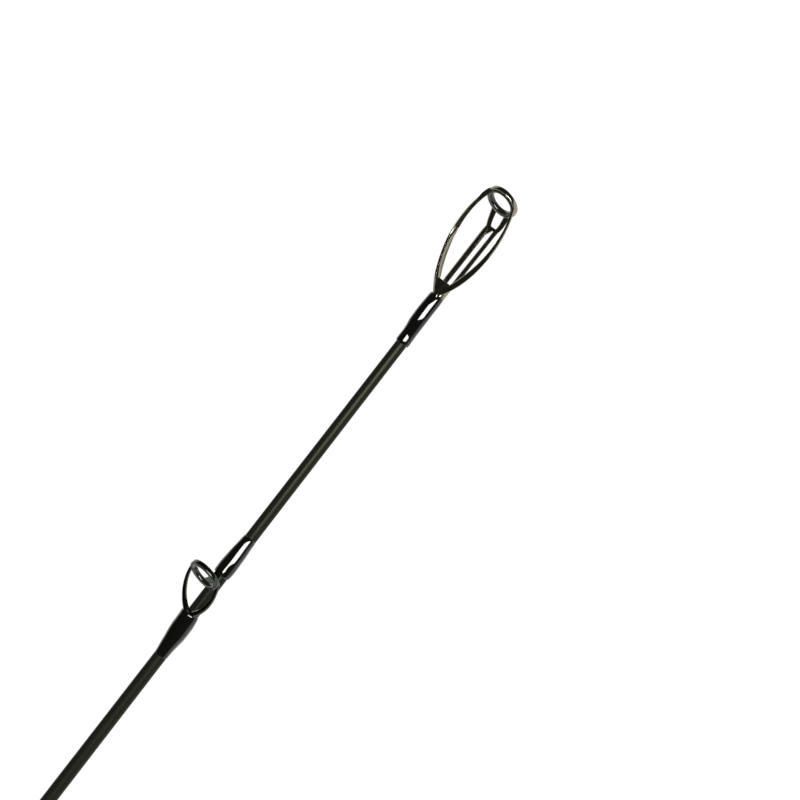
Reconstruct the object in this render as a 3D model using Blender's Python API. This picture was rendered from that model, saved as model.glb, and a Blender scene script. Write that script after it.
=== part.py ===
"""Casting rod: one-piece blank, leaning ring guides, trigger reel seat.

The flat end of the butt cap lies at x = 0 with its centre at the origin. The
blank runs along +X to the tip, the guides and the reel's deck look to +Z, and
the trigger hangs at -Z. All sizes are in metres.
"""

import math
from dataclasses import dataclass

import bmesh
import bpy
from mathutils import Matrix, Vector
from mathutils.geometry import interpolate_bezier

# Gaps between pieces
SEAT_GAP = 0.0003
FINE_GAP = 0.00015
RUNNING_GAP = 0.00025

# Facets round each kind of piece
BLANK_SIDES = 24
RING_SIDES = 20
WRAP_SIDES = 12
TUBE_SIDES = 16
GRIP_SIDES = 22
SEAT_SIDES = 28

# Rod and blank
ROD_LENGTH = 1.830
TIP_TOP_LENGTH = 0.0446
BLANK_TIP_DIAMETER = 0.00295
BLANK_TAPER = 0.0039
BLANK_WALL = 0.0009
SOLID_TIP_LENGTH = 0.230

# Guide rings: they lean towards the tip
RING_LEAN = math.radians(28.0)
COLLAR_WALL = 0.00045
COLLAR_WIDTH = 0.0012

# Guide frames, for the smallest ring; bigger ones have heavier strip
LEG_WIDTH = 0.00110
LEG_THICKNESS = 0.00072
FOOT_WIDTH = 0.0018
FOOT_THICKNESS = 0.00055
FOOT_TIP_THICKNESS = 0.00020
FOOT_SHORTFALL = 0.0015
FOOT_NOSE = 0.0008
LEG_REACH_PER_HEIGHT = 1.17
FRONT_FOOT_PER_HEIGHT = 0.13
NECK_THICKNESS = 0.00065
STRIP_OVERLAP = 0.0003

# Curve of a guide's leg, as shares of its reach, collar radius and rise
LEG_ROOT_SPREAD = 0.40
LEG_REAR_REACH = 0.80
LEG_REAR_BOW = 0.80
LEG_REAR_RISE = 0.22
LEG_FRONT_REACH = 0.385
LEG_FRONT_BOW = 1.17
LEG_FRONT_RISE = 0.76
LEG_END_ABOVE_CENTRE = 0.18
LEG_TWIST_RATE = 1.25

# Thread wraps
WRAP_WALL = 0.00036
WRAP_EDGE_WALL = 0.00010
WRAP_TAPER_LENGTH = 0.0028
FOOT_HUMP = 0.0010

# Epoxy over a guide's foot: share of the wrap's length from the ring's side,
# wall round the blank, height over the foot as a share of FOOT_HUMP
REAR_WRAP_SHAPE = (
    (0.00, 0.00020, 1.00),
    (0.18, 0.00060, 1.00),
    (0.60, 0.00046, 0.72),
    (1.00, 0.00010, 0.00),
)
FRONT_WRAP_SHAPE = (
    (0.00, 0.00022, 1.00),
    (0.15, 0.00046, 0.95),
    (0.72, 0.00026, 0.60),
    (1.00, 0.00010, 0.00),
)

# Tip-top, along the blank from the rear end of its wrap
TIP_RING_DIAMETER = 0.0080
TIP_RING_BORE = 0.0058
TIP_RING_HEIGHT = 0.0044
TIP_WRAP_LENGTH = 0.0146
TIP_TUBE_SETBACK = 0.0008
TIP_TUBE_LENGTH = 0.0168
TIP_TUBE_RADIUS = 0.0017
TIP_TUBE_WALL = 0.00035
TIP_TUBE_EDGE = 0.00015
TIP_SPIGOT_LENGTH = 0.0138
TIP_SPIGOT_CHAMFER = 0.0003
TIP_TAIL_START = 0.0034
TIP_TAIL_THICKNESS = 0.0006
TIP_TAIL_OVERLAP = 0.0012
LOOP_START = 0.0149
LOOP_END_ANGLE = math.radians(24.0)
LOOP_REAR_REACH = 0.226
LOOP_REAR_BOW = 0.79
LOOP_FRONT_REACH = 0.688
LOOP_FRONT_BOW = 1.26
LOOP_FRONT_RISE = 0.81
LOOP_TWIST_RATE = 1.1
LOOP_HALF_WIDTH = 0.0061
LOOP_STRIP_WIDTH = 0.0015
LOOP_STRIP_END_WIDTH = 0.0008
LOOP_STRIP_THICKNESS = 0.00072
PLATE_LENGTH = 0.0033
PLATE_HALF_WIDTH = 0.0021
PLATE_ROOT_HALF_WIDTH = 0.0006
PLATE_THICKNESS = 0.0005
BRACE_HALF_SPACING = 0.00115
BRACE_WIDTH = 0.00125
BRACE_THICKNESS = 0.00090
BRACE_END_SIZE = 0.00060
BRACE_DROP = 0.00060
BRACE_FALL = 0.00100
BRACE_TAIL_LENGTH = 0.0018
BRACE_TAIL_HALF_WIDTH = 0.00075
BRACE_TAIL_THICKNESS = 0.0006
BRIDGE_SETBACK = 0.0061
BRIDGE_LENGTH = 0.0007
BRACE_BEND_REAR = 0.0018
BRACE_BEND_FRONT = 0.0016
BRACE_BEND_FALL = 0.0012
ROOT_BAR_LENGTH = 0.0008
BRACE_SPREAD = math.radians(62.0)

# Handle, stacked from the butt forwards
BUTT_CAP_LENGTH = 0.0150
BUTT_CAP_RADIUS = 0.0150
BUTT_CAP_FLOOR = 0.0040
BUTT_CAP_ROUNDING = 0.0036
BUTT_CAP_CHAMFER = 0.0008
BUTT_RING_LENGTH = 0.0030
BUTT_RING_RADIUS = 0.0144
REAR_GRIP_LENGTH = 0.2200
REAR_GRIP_END_RADIUS = 0.0142
REAR_GRIP_WAIST_RADIUS = 0.0116
REAR_GRIP_FRONT_RADIUS = 0.0126
REAR_GRIP_WAIST_PLACE = 0.55
GRIP_CHAMFER = 0.0009
SEAT_RING_LENGTH = 0.0040
SEAT_RING_RADIUS = 0.0127
TRIM_CHAMFER_SHARE = 0.15
FORE_RING_LENGTH = 0.0030
FOREGRIP_LENGTH = 0.0500
FOREGRIP_REAR_RADIUS = 0.0122
FOREGRIP_SWELL_RADIUS = 0.0128
FOREGRIP_FRONT_RADIUS = 0.0086
FOREGRIP_SWELL_PLACE = 0.22
FRONT_CHECK_LENGTH = 0.0070
CHECK_BAND_LENGTH = 0.0022
CHECK_CHAMFER = 0.0004
CHECK_WALL = 0.0010
BUTT_WRAP_LENGTH = 0.0300

# Reel seat
SEAT_LENGTH = 0.1290
SEAT_BORE_RADIUS = 0.0073
SEAT_REAR_RADIUS = 0.0126
SEAT_GRIP_RADIUS = 0.0119
DECK_HEIGHT = 0.0085
BARREL_RADIUS = 0.0098
BARREL_LENGTH = 0.0590
HOOD_HALF_WIDTH = 0.0128
HOOD_TOP = 0.0176
POCKET_HALF_WIDTH = 0.0073
POCKET_ROOF = 0.0146
POCKET_DEPTH = 0.0140
POCKET_CORNER = 0.0016
DECK_CLEARANCE = 0.0001
SEAT_CHAMFER = 0.0009
FIXED_HOOD_START = 0.0030
FIXED_HOOD_END = 0.0215
LINER_THICKNESS = 0.0005
LINER_SKIRT = 0.0030
LINER_LENGTH = 0.0110
LINER_SETBACK = 0.0008
TRIGGER_SETBACK = 0.0480
TRIGGER_DEPTH = 0.0335
ARBOR_LENGTH = 0.0200
ARBOR_INSET = 0.0040

# Trigger: share of its depth, shift forwards, half length and half width
TRIGGER_SHAPE = (
    (0.22, 0.0000, 0.0190, 0.0088),
    (0.35, 0.0004, 0.0138, 0.0076),
    (0.47, -0.0010, 0.0094, 0.0064),
    (0.62, -0.0022, 0.0067, 0.0056),
    (0.78, -0.0010, 0.0056, 0.0053),
    (0.90, 0.0018, 0.0050, 0.0050),
    (0.97, 0.0040, 0.0036, 0.0040),
    (1.00, 0.0052, 0.0018, 0.0024),
)

# Sliding hood and lock nut on the barrel
SLIDING_HOOD_LENGTH = 0.0180
LOCK_NUT_LENGTH = 0.0140
LOCK_NUT_RADIUS = 0.0131
LOCK_NUT_FLUTES = 12
LOCK_NUT_FLUTE_DEPTH = 0.0007
LOCK_NUT_CHAMFER = 0.0009
BARREL_SHOWN = 0.0060

# Hook keeper
KEEPER_GAP_TO_WRAP = 0.0120
KEEPER_WIRE = 0.0011
KEEPER_LOOP_LENGTH = 0.0115
KEEPER_LOOP_HALF_WIDTH = 0.0033
KEEPER_PIN_HEIGHT = 0.0026
KEEPER_EAR_THICKNESS = 0.0009
KEEPER_EAR_INSET = 0.0012
KEEPER_EAR_LENGTH = 0.0028
KEEPER_FOOT_LENGTH = 0.0080
KEEPER_WRAP_LENGTH = 0.0095
KEEPER_WRAP_SETBACK = 0.0006
KEEPER_WRAP_TAPER = 0.0022
KEEPER_FOOT_HALF_WIDTH = 0.0010
KEEPER_FOOT_TIP_HALF_WIDTH = 0.0008
KEEPER_FOOT_STEP = 0.0004
KEEPER_PLATE_DEPTH = 0.0020
KEEPER_END_PLAY = 0.0001
KEEPER_BEND_SHARE = 0.35


@dataclass(frozen=True)
class GuideSpec:
    """Sizes of one running guide."""

    name: str
    from_tip: float
    ring_diameter: float
    ring_bore: float
    ring_width: float
    height: float
    rear_wrap: float
    front_wrap: float


GUIDES = (
    GuideSpec("guide_1", 0.115, 0.0080, 0.0058, 0.0016, 0.0073, 0.0130, 0.0115),
    GuideSpec("guide_2", 0.236, 0.0080, 0.0058, 0.0016, 0.0073, 0.0130, 0.0115),
    GuideSpec("guide_3", 0.361, 0.0080, 0.0058, 0.0016, 0.0075, 0.0130, 0.0115),
    GuideSpec("guide_4", 0.492, 0.0100, 0.0076, 0.0018, 0.0088, 0.0145, 0.0125),
    GuideSpec("guide_5", 0.630, 0.0120, 0.0093, 0.0020, 0.0108, 0.0155, 0.0135),
    GuideSpec("guide_6", 0.776, 0.0160, 0.0127, 0.0023, 0.0142, 0.0175, 0.0150),
    GuideSpec("guide_7", 0.932, 0.0200, 0.0163, 0.0026, 0.0178, 0.0195, 0.0165),
)


# Places along the rod, worked out from the sizes above

TIP_WRAP_X = ROD_LENGTH - TIP_TOP_LENGTH
TIP_COLLAR_RADIUS = TIP_RING_DIAMETER / 2 + FINE_GAP + COLLAR_WALL
TIP_RING_X = (ROD_LENGTH - TIP_COLLAR_RADIUS * math.sin(RING_LEAN)
              - COLLAR_WIDTH / 2 * math.cos(RING_LEAN))
BUTT_RING_X = BUTT_CAP_LENGTH + SEAT_GAP
REAR_GRIP_X = BUTT_RING_X + BUTT_RING_LENGTH + SEAT_GAP
SEAT_RING_X = REAR_GRIP_X + REAR_GRIP_LENGTH + SEAT_GAP
SEAT_X = SEAT_RING_X + SEAT_RING_LENGTH + SEAT_GAP
SEAT_END_X = SEAT_X + SEAT_LENGTH
FORE_RING_X = SEAT_END_X + SEAT_GAP
FOREGRIP_X = FORE_RING_X + FORE_RING_LENGTH + SEAT_GAP
FRONT_CHECK_X = FOREGRIP_X + FOREGRIP_LENGTH + SEAT_GAP
BUTT_WRAP_X = FRONT_CHECK_X + FRONT_CHECK_LENGTH + SEAT_GAP
LOCK_NUT_X = SEAT_END_X - BARREL_SHOWN - LOCK_NUT_LENGTH
SLIDING_HOOD_X = LOCK_NUT_X - SEAT_GAP - SLIDING_HOOD_LENGTH
KEEPER_X = BUTT_WRAP_X + BUTT_WRAP_LENGTH + KEEPER_GAP_TO_WRAP + KEEPER_WRAP_LENGTH
BLANK_START_X = BUTT_CAP_FLOOR + SEAT_GAP


def blank_radius(x: float) -> float:
    """Outer radius of the blank at a place along the rod."""
    return BLANK_TIP_DIAMETER / 2 + BLANK_TAPER / 2 * (TIP_WRAP_X - x)


# Finishes

def finish(name, colour, roughness, metallic=0.0):
    """A plain surface material, made once for each name."""
    known = bpy.data.materials.get(name)
    if known:
        return known
    material = bpy.data.materials.new(name)
    material.use_nodes = True
    shader = material.node_tree.nodes["Principled BSDF"]
    shader.inputs["Base Color"].default_value = (*colour, 1.0)
    shader.inputs["Roughness"].default_value = roughness
    shader.inputs["Metallic"].default_value = metallic
    material.diffuse_color = (*colour, 1.0)
    return material


def carbon_blank():
    return finish("carbon_blank", (0.030, 0.031, 0.024), 0.38)


def black_frame():
    return finish("black_frame", (0.030, 0.029, 0.027), 0.18, 1.0)


def dark_ceramic():
    return finish("dark_ceramic", (0.055, 0.055, 0.058), 0.12)


def epoxy_wrap():
    return finish("epoxy_wrap", (0.010, 0.010, 0.010), 0.06)


def foam_grip():
    return finish("foam_grip", (0.018, 0.018, 0.018), 0.85)


def moulded_seat():
    return finish("moulded_seat", (0.022, 0.022, 0.023), 0.42)


def black_anodised():
    return finish("black_anodised", (0.050, 0.050, 0.052), 0.28, 1.0)


def steel_liner():
    return finish("steel_liner", (0.55, 0.55, 0.54), 0.25, 1.0)


def butt_rubber():
    return finish("butt_rubber", (0.020, 0.020, 0.020), 0.70)


def arbor_foam():
    return finish("arbor_foam", (0.32, 0.30, 0.26), 0.90)


# Building helpers

def flat_to_flat(radius, sides):
    """Corner radius of a polygon whose flats lie at the given radius."""
    return radius / math.cos(math.pi / sides)


def circle(x, radius, sides):
    """Points of a circle round the X axis."""
    step = 2 * math.pi / sides
    return [Vector((x, radius * math.cos(i * step), radius * math.sin(i * step)))
            for i in range(sides)]


def d_section(x, radius, flat, sides):
    """A circle round the X axis, cut off flat at the given height."""
    points = circle(x, radius, sides)
    half_chord = math.sqrt(radius * radius - flat * flat)
    above = [p for p in points if p.z > flat]
    for i, point in enumerate(above):
        point.y = half_chord * (1 - 2 * i / (len(above) - 1))
        point.z = flat
    return points


def arch_section(x, half_width, top, bottom, power, sides):
    """A rounded section round the X axis, squarer as the power rises."""
    points = []
    for i in range(sides):
        angle = 2 * math.pi * i / sides
        c, s = math.cos(angle), math.sin(angle)
        height = top if s > 0 else bottom
        y = half_width * math.copysign(abs(c) ** (2 / power), c)
        z = height * math.copysign(abs(s) ** (2 / power), s)
        points.append(Vector((x, y, z)))
    return points


def egg_section(x, radius, hump, sides):
    """A circle round the X axis with a hump over the foot at its top."""
    points = []
    for i in range(sides):
        angle = 2 * math.pi * i / sides
        reach = radius + hump * max(0.0, math.sin(angle)) ** 2
        points.append(Vector((x, reach * math.cos(angle), reach * math.sin(angle))))
    return points


def new_object(name, bm, material):
    """Close a mesh, turn its faces outwards and put it in the scene."""
    bmesh.ops.recalc_face_normals(bm, faces=bm.faces)
    mesh = bpy.data.meshes.new(name)
    bm.to_mesh(mesh)
    bm.free()
    obj = bpy.data.objects.new(name, mesh)
    bpy.context.scene.collection.objects.link(obj)
    mesh.materials.append(material)
    return obj


def smooth(obj, angle=35.0):
    """Shade an object smooth between its sharp edges."""
    obj.data.shade_smooth()
    obj.data.set_sharp_from_angle(angle=math.radians(angle))
    return obj


def skin(bm, sections, loop=False):
    """Join sections of equal count with faces; a loop closes on itself."""
    rings = [[bm.verts.new(p) for p in section] for section in sections]
    count = len(rings[0])
    pairs = list(zip(rings, rings[1:]))
    if loop:
        pairs.append((rings[-1], rings[0]))
    for a, b in pairs:
        for i in range(count):
            j = (i + 1) % count
            bm.faces.new((a[i], a[j], b[j], b[i]))
    if not loop:
        bm.faces.new(rings[0])
        bm.faces.new(rings[-1])


def lofted(name, sections, material):
    """A solid through closed sections, with flat ends."""
    bm = bmesh.new()
    skin(bm, sections)
    return new_object(name, bm, material)


def sleeve(name, outer, inner, material):
    """A solid wall between outer and inner sections, listed one way along."""
    bm = bmesh.new()
    skin(bm, outer + inner[::-1], loop=True)
    return new_object(name, bm, material)


def turned_sleeve(name, outer, inner, sides, material):
    """A turned sleeve from (x, radius) pairs outside and inside."""
    outside = [circle(x, radius, sides) for x, radius in outer]
    inside = [circle(x, flat_to_flat(radius, sides), sides) for x, radius in inner]
    return smooth(sleeve(name, outside, inside, material))


def boolean(target, other, operation):
    """Apply a Boolean of two objects to the first and drop the second."""
    modifier = target.modifiers.new(operation, "BOOLEAN")
    modifier.operation = operation
    modifier.solver = "EXACT"
    modifier.object = other
    bpy.context.view_layer.update()
    graph = bpy.context.evaluated_depsgraph_get()
    mesh = bpy.data.meshes.new_from_object(target.evaluated_get(graph))
    old = target.data
    target.modifiers.remove(modifier)
    target.data = mesh
    mesh.name = target.name
    bpy.data.meshes.remove(old)
    bpy.data.objects.remove(other)
    return target


def united(pieces):
    """Union of several objects, kept in the first."""
    body = pieces[0]
    for piece in pieces[1:]:
        boolean(body, piece, "UNION")
    return body


def cut(body, *cutters):
    """Cut each cutter out of a body."""
    for cutter in cutters:
        boolean(body, cutter, "DIFFERENCE")
    return body


def empty(name, location):
    """A named reference point that carries pieces."""
    point = bpy.data.objects.new(name, None)
    point.location = location
    bpy.context.scene.collection.objects.link(point)
    return point


def carry(parent, *pieces):
    """Parent pieces to a reference point, keeping their own places."""
    for piece in pieces:
        piece.parent = parent


def bezier(start, handle_a, handle_b, end, count):
    """Points of a cubic curve."""
    return interpolate_bezier(start, handle_a, handle_b, end, count)


def strip(name, path, normals, widths, thicknesses, material):
    """Flat strip with rounded edges along a path."""
    sections = []
    last = len(path) - 1
    for i, point in enumerate(path):
        tangent = (path[min(i + 1, last)] - path[max(i - 1, 0)]).normalized()
        normal = (normals[i] - tangent * normals[i].dot(tangent)).normalized()
        across = tangent.cross(normal)
        flat = widths[i] / 2 - thicknesses[i] / 4
        edge = widths[i] / 2
        half = thicknesses[i] / 2
        corners = ((half, -flat), (half, flat), (0, edge),
                   (-half, flat), (-half, -flat), (0, -edge))
        sections.append([point + normal * n + across * a for n, a in corners])
    return lofted(name, sections, material)


def blend(a, b, share):
    """Value part of the way from a to b."""
    return a * (1 - share) + b * share


def shares(count):
    """Even steps from 0 to 1."""
    return [i / (count - 1) for i in range(count)]


# Leaning rings

def ring_matrix(centre):
    """Place of a ring whose top leans towards the tip."""
    return Matrix.Translation(centre) @ Matrix.Rotation(RING_LEAN, 4, "Y")


def leaning_disc(name, centre, radius, width, sides, material):
    """Solid disc on a leaning ring's axis."""
    disc = lofted(name, [circle(x, radius, sides) for x in (-width / 2, width / 2)], material)
    disc.data.transform(ring_matrix(centre))
    return disc


def ring_insert(name, diameter, bore, width):
    """Ceramic ring with a rounded bore, round its own X axis."""
    outer = diameter / 2
    inner = bore / 2
    lip = blend(inner, outer, 0.42)
    half = width / 2
    profile = ((-half, outer), (half, outer), (half, lip), (0.0, inner), (-half, lip))
    bm = bmesh.new()
    skin(bm, [circle(x, radius, RING_SIDES) for x, radius in profile], loop=True)
    return smooth(new_object(name, bm, dark_ceramic()), 50.0)


def lean(obj, centre):
    """Set a ring on its frame's axis."""
    obj.location = centre
    obj.rotation_euler = (0.0, RING_LEAN, 0.0)


# Running guides, each in its own frame with the ring's centre above x = 0

class RunningGuide:
    """One guide: pressed frame, ceramic ring and two thread wraps."""

    def __init__(self, spec):
        self.spec = spec
        self.x = TIP_RING_X - spec.from_tip
        self.radius = blank_radius(self.x)
        self.gauge = math.sqrt(spec.ring_diameter / GUIDES[0].ring_diameter)
        self.height = self.radius + spec.height
        self.bore = spec.ring_diameter / 2 + FINE_GAP
        self.collar = self.bore + COLLAR_WALL * self.gauge
        self.collar_width = COLLAR_WIDTH * self.gauge
        self.centre = Vector((0.0, 0.0, self.height))
        self.reach = LEG_REACH_PER_HEIGHT * self.height
        self.front_start = FRONT_FOOT_PER_HEIGHT * self.height
        self.foot_bottom = self.radius + FINE_GAP
        self.foot_thickness = FOOT_THICKNESS * self.gauge
        self.foot_half_width = FOOT_WIDTH / 2 * self.gauge
        self.hump = FOOT_HUMP * self.gauge
        self.nose_x = -self.reach + FOOT_NOSE * self.gauge

    def foot(self, name, root, tip):
        """Tongue that lies on the blank and thins towards its tip."""
        sections = []
        for share in shares(3):
            x = blend(root, tip, share)
            half = self.foot_half_width * blend(1.0, 0.55, share ** 2)
            top = self.foot_bottom + blend(self.foot_thickness, FOOT_TIP_THICKNESS, share)
            bottom = self.foot_bottom - self.foot_thickness
            sections.append([Vector((x, half, bottom)), Vector((x, half, top - half * 0.12)),
                             Vector((x, half * 0.6, top)), Vector((x, -half * 0.6, top)),
                             Vector((x, -half, top - half * 0.12)), Vector((x, -half, bottom))])
        return lofted(name, sections, black_frame())

    def leg(self, name, side):
        """Strip from the rear foot, flat there, to the collar, on edge there."""
        low = self.foot_bottom + self.foot_thickness / 2
        rise = self.height - low
        start = Vector((self.nose_x - STRIP_OVERLAP,
                        side * self.foot_half_width * LEG_ROOT_SPREAD, low))
        handle_a = Vector((-LEG_REAR_REACH * self.reach, side * LEG_REAR_BOW * self.collar,
                           low + LEG_REAR_RISE * rise))
        handle_b = Vector((-LEG_FRONT_REACH * self.reach, side * LEG_FRONT_BOW * self.collar,
                           low + LEG_FRONT_RISE * rise))
        end = Vector((0.0, side * (self.collar - LEG_THICKNESS * self.gauge / 2),
                      self.height + LEG_END_ABOVE_CENTRE * self.collar))
        count = 7
        path = bezier(start, handle_a, handle_b, end, count)
        flat = Vector((0.0, 0.0, 1.0))
        inwards = Vector((0.0, -side, 0.0))
        normals = [blend(flat, inwards, min(1.0, LEG_TWIST_RATE * s)) for s in shares(count)]
        widths = [LEG_WIDTH * self.gauge] * count
        thicknesses = [LEG_THICKNESS * self.gauge] * count
        return strip(name, path, normals, widths, thicknesses, black_frame())

    def neck(self, name):
        """Strip from the bottom of the collar down to the front foot."""
        bottom = self.height - self.collar * math.cos(RING_LEAN)
        start = Vector((-self.collar * math.sin(RING_LEAN) + STRIP_OVERLAP, 0.0,
                        bottom + STRIP_OVERLAP))
        end = Vector((self.front_start + STRIP_OVERLAP, 0.0,
                      self.foot_bottom + self.foot_thickness / 2))
        fall = start.z - end.z
        handle_a = start + Vector((0.25 * fall + STRIP_OVERLAP, 0.0, -0.55 * fall))
        handle_b = end + Vector((-0.45 * (end.x - start.x), 0.0, 0.0))
        count = 5
        path = bezier(start, handle_a, handle_b, end, count)
        normals = [Vector((0.3, 0.0, 1.0))] * count
        widths = [2 * blend(self.foot_half_width * 1.5, self.foot_half_width * 0.98, s)
                  for s in shares(count)]
        thicknesses = [NECK_THICKNESS * self.gauge] * count
        return strip(name, path, normals, widths, thicknesses, black_frame())

    def rear_end(self):
        """Far end of the rear wrap, in the guide's own frame."""
        return -self.reach - self.spec.rear_wrap

    def front_end(self):
        """Far end of the front wrap, in the guide's own frame."""
        return self.front_start + self.spec.front_wrap

    def saddle(self, name):
        """Cutter the shape of the blank with a glue gap round it."""
        ends = (self.rear_end(), self.front_end())
        sections = [circle(x, flat_to_flat(blank_radius(self.x + x) + FINE_GAP, BLANK_SIDES),
                           BLANK_SIDES) for x in ends]
        return lofted(name, sections, black_frame())

    def frame(self):
        """Pressed frame: collar, two legs, neck and two feet."""
        name = self.spec.name + "_frame"
        collar = leaning_disc(name, self.centre, self.collar, self.collar_width,
                              RING_SIDES, black_frame())
        rear_foot = self.foot("rear_foot", self.nose_x, self.rear_end() + FOOT_SHORTFALL)
        front_foot = self.foot("front_foot", self.front_start,
                               self.front_end() - FOOT_SHORTFALL)
        body = united([collar, self.leg("far_leg", 1.0), self.leg("near_leg", -1.0),
                       self.neck("neck"), rear_foot, front_foot])
        hole = leaning_disc("hole", self.centre, flat_to_flat(self.bore, RING_SIDES),
                            self.collar, RING_SIDES, black_frame())
        return smooth(cut(body, hole, self.saddle("saddle")))

    def ring(self):
        """Ceramic ring in the collar."""
        spec = self.spec
        ring = ring_insert(spec.name + "_ring", spec.ring_diameter, spec.ring_bore,
                           spec.ring_width)
        lean(ring, self.centre)
        return ring

    def wrap(self, name, root, end, shape):
        """Thread and epoxy over one foot, thick at the ring's side."""
        outer = []
        inner = []
        for share, wall, hump_share in shape:
            x = blend(root, end, share)
            base = flat_to_flat(blank_radius(self.x + x) + FINE_GAP, WRAP_SIDES)
            hump = self.hump * hump_share
            outer.append(egg_section(x, base + wall * self.gauge, hump, WRAP_SIDES))
            inner.append(egg_section(x, base, hump, WRAP_SIDES))
        return smooth(sleeve(name, outer, inner, epoxy_wrap()))

    def build(self):
        """All four pieces, carried by the guide's reference point."""
        spec = self.spec
        point = empty(spec.name, (self.x, 0.0, 0.0))
        rear = self.wrap(spec.name + "_rear_wrap", -self.reach - SEAT_GAP, self.rear_end(),
                         REAR_WRAP_SHAPE)
        front = self.wrap(spec.name + "_front_wrap", self.front_start + SEAT_GAP,
                          self.front_end(), FRONT_WRAP_SHAPE)
        carry(point, self.frame(), self.ring(), rear, front)


# Tip-top, in a frame with the rear end of its wrap at x = 0

class TipTop:
    """Tube, V plate, outer loop, inner braces and ring at the rod's tip."""

    def __init__(self):
        self.ring_x = TIP_RING_X - TIP_WRAP_X
        self.centre = Vector((self.ring_x, 0.0, TIP_RING_HEIGHT))
        self.bore = TIP_RING_DIAMETER / 2 + FINE_GAP
        self.collar = TIP_COLLAR_RADIUS
        self.tube_end = TIP_TUBE_SETBACK + TIP_TUBE_LENGTH
        self.plate_z = TIP_TUBE_RADIUS + FINE_GAP + TIP_TAIL_THICKNESS / 2

    def tube(self):
        """Metal tube over the turned-down tip of the blank."""
        ends = (TIP_TUBE_SETBACK, self.tube_end)
        edge = TIP_TUBE_EDGE
        outer = [(ends[0], TIP_TUBE_RADIUS - edge), (ends[0] + edge, TIP_TUBE_RADIUS),
                 (ends[1] - edge, TIP_TUBE_RADIUS), (ends[1], TIP_TUBE_RADIUS - edge)]
        bore = TIP_TUBE_RADIUS - TIP_TUBE_WALL
        inner = [(ends[0], bore), (ends[1], bore)]
        return turned_sleeve("tip_tube", outer, inner, TUBE_SIDES, black_frame())

    def tail(self):
        """Tongue of the V plate that the wrap holds on the tube."""
        half = FOOT_WIDTH / 2
        low = self.plate_z - TIP_TAIL_THICKNESS / 2
        sections = []
        for share in shares(4):
            x = blend(LOOP_START + TIP_TAIL_OVERLAP, TIP_TAIL_START, share)
            top = low + blend(TIP_TAIL_THICKNESS, FOOT_TIP_THICKNESS, share)
            edge = half * blend(1.0, 0.6, share ** 2)
            sections.append([Vector((x, edge, low)), Vector((x, edge * 0.7, top)),
                             Vector((x, -edge * 0.7, top)), Vector((x, -edge, low))])
        return lofted("tail", sections, black_frame())

    def on_collar(self, radius, side, angle):
        """Place on the leaning collar, an angle up from its side."""
        up = radius * math.sin(angle)
        return self.centre + Vector((up * math.sin(RING_LEAN), side * radius * math.cos(angle),
                                     up * math.cos(RING_LEAN)))

    def loop_leg(self, side):
        """Half of the outer loop: flat at the V, on edge at the ring."""
        end = self.on_collar(self.collar - LOOP_STRIP_THICKNESS / 2, side, LOOP_END_ANGLE)
        run = self.ring_x - LOOP_START
        climb = end.z - self.plate_z
        start = Vector((LOOP_START, side * FOOT_WIDTH / 5, self.plate_z))
        handle_a = Vector((LOOP_START + LOOP_REAR_REACH * run,
                           side * LOOP_REAR_BOW * LOOP_HALF_WIDTH, self.plate_z))
        handle_b = Vector((LOOP_START + LOOP_FRONT_REACH * run,
                           side * LOOP_FRONT_BOW * LOOP_HALF_WIDTH,
                           self.plate_z + LOOP_FRONT_RISE * climb))
        count = 12
        path = bezier(start, handle_a, handle_b, end, count)
        flat = Vector((0.0, 0.0, 1.0))
        inwards = Vector((0.0, -side, 0.0))
        normals = [blend(flat, inwards, min(1.0, LOOP_TWIST_RATE * s)) for s in shares(count)]
        widths = [blend(LOOP_STRIP_WIDTH, LOOP_STRIP_END_WIDTH, s) for s in shares(count)]
        thicknesses = [LOOP_STRIP_THICKNESS] * count
        return strip("loop_leg", path, normals, widths, thicknesses, black_frame())

    def brace(self, side):
        """Inner leg: straight beside the slot, then out and up to the collar."""
        end = self.on_collar(self.collar - COLLAR_WALL / 2, side, -BRACE_SPREAD)
        straight = [Vector((x, side * BRACE_HALF_SPACING, z))
                    for x, z in ((self.tube_end + FINE_GAP, -BRACE_DROP),
                                 (self.ring_x - BRIDGE_SETBACK, -BRACE_DROP - BRACE_FALL))]
        bend = bezier(straight[-1], straight[-1] + Vector((BRACE_BEND_REAR, 0.0, 0.0)),
                      end - Vector((BRACE_BEND_FRONT, 0.0, BRACE_BEND_FALL)), end, 5)
        path = straight + bend[1:]
        normals = [Vector((0.0, 0.0, 1.0))] * len(path)
        widths = [BRACE_WIDTH] * 2 + [blend(BRACE_WIDTH, BRACE_END_SIZE, s) for s in shares(5)[1:]]
        thicknesses = [BRACE_THICKNESS] * 2 + [blend(BRACE_THICKNESS, BRACE_END_SIZE, s)
                                               for s in shares(5)[1:]]
        return strip("brace", path, normals, widths, thicknesses, black_frame())

    def web(self):
        """Flat plate that fills the narrow end of the V."""
        half = PLATE_THICKNESS / 2
        sections = [[Vector((x, width, self.plate_z - half)), Vector((x, width, self.plate_z + half)),
                     Vector((x, -width, self.plate_z + half)),
                     Vector((x, -width, self.plate_z - half))]
                    for x, width in ((LOOP_START, PLATE_ROOT_HALF_WIDTH),
                                     (LOOP_START + PLATE_LENGTH, PLATE_HALF_WIDTH))]
        return lofted("web", sections, black_frame())

    def cross_piece(self, name, start, end, half_width, drop, thickness):
        """Flat bar across both braces, at a depth below the axis."""
        low = -drop - thickness / 2
        high = -drop + thickness / 2
        sections = [[Vector((x, half_width, low)), Vector((x, half_width, high)),
                     Vector((x, -half_width, high)), Vector((x, -half_width, low))]
                    for x in (start, end)]
        return lofted(name, sections, black_frame())

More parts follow.
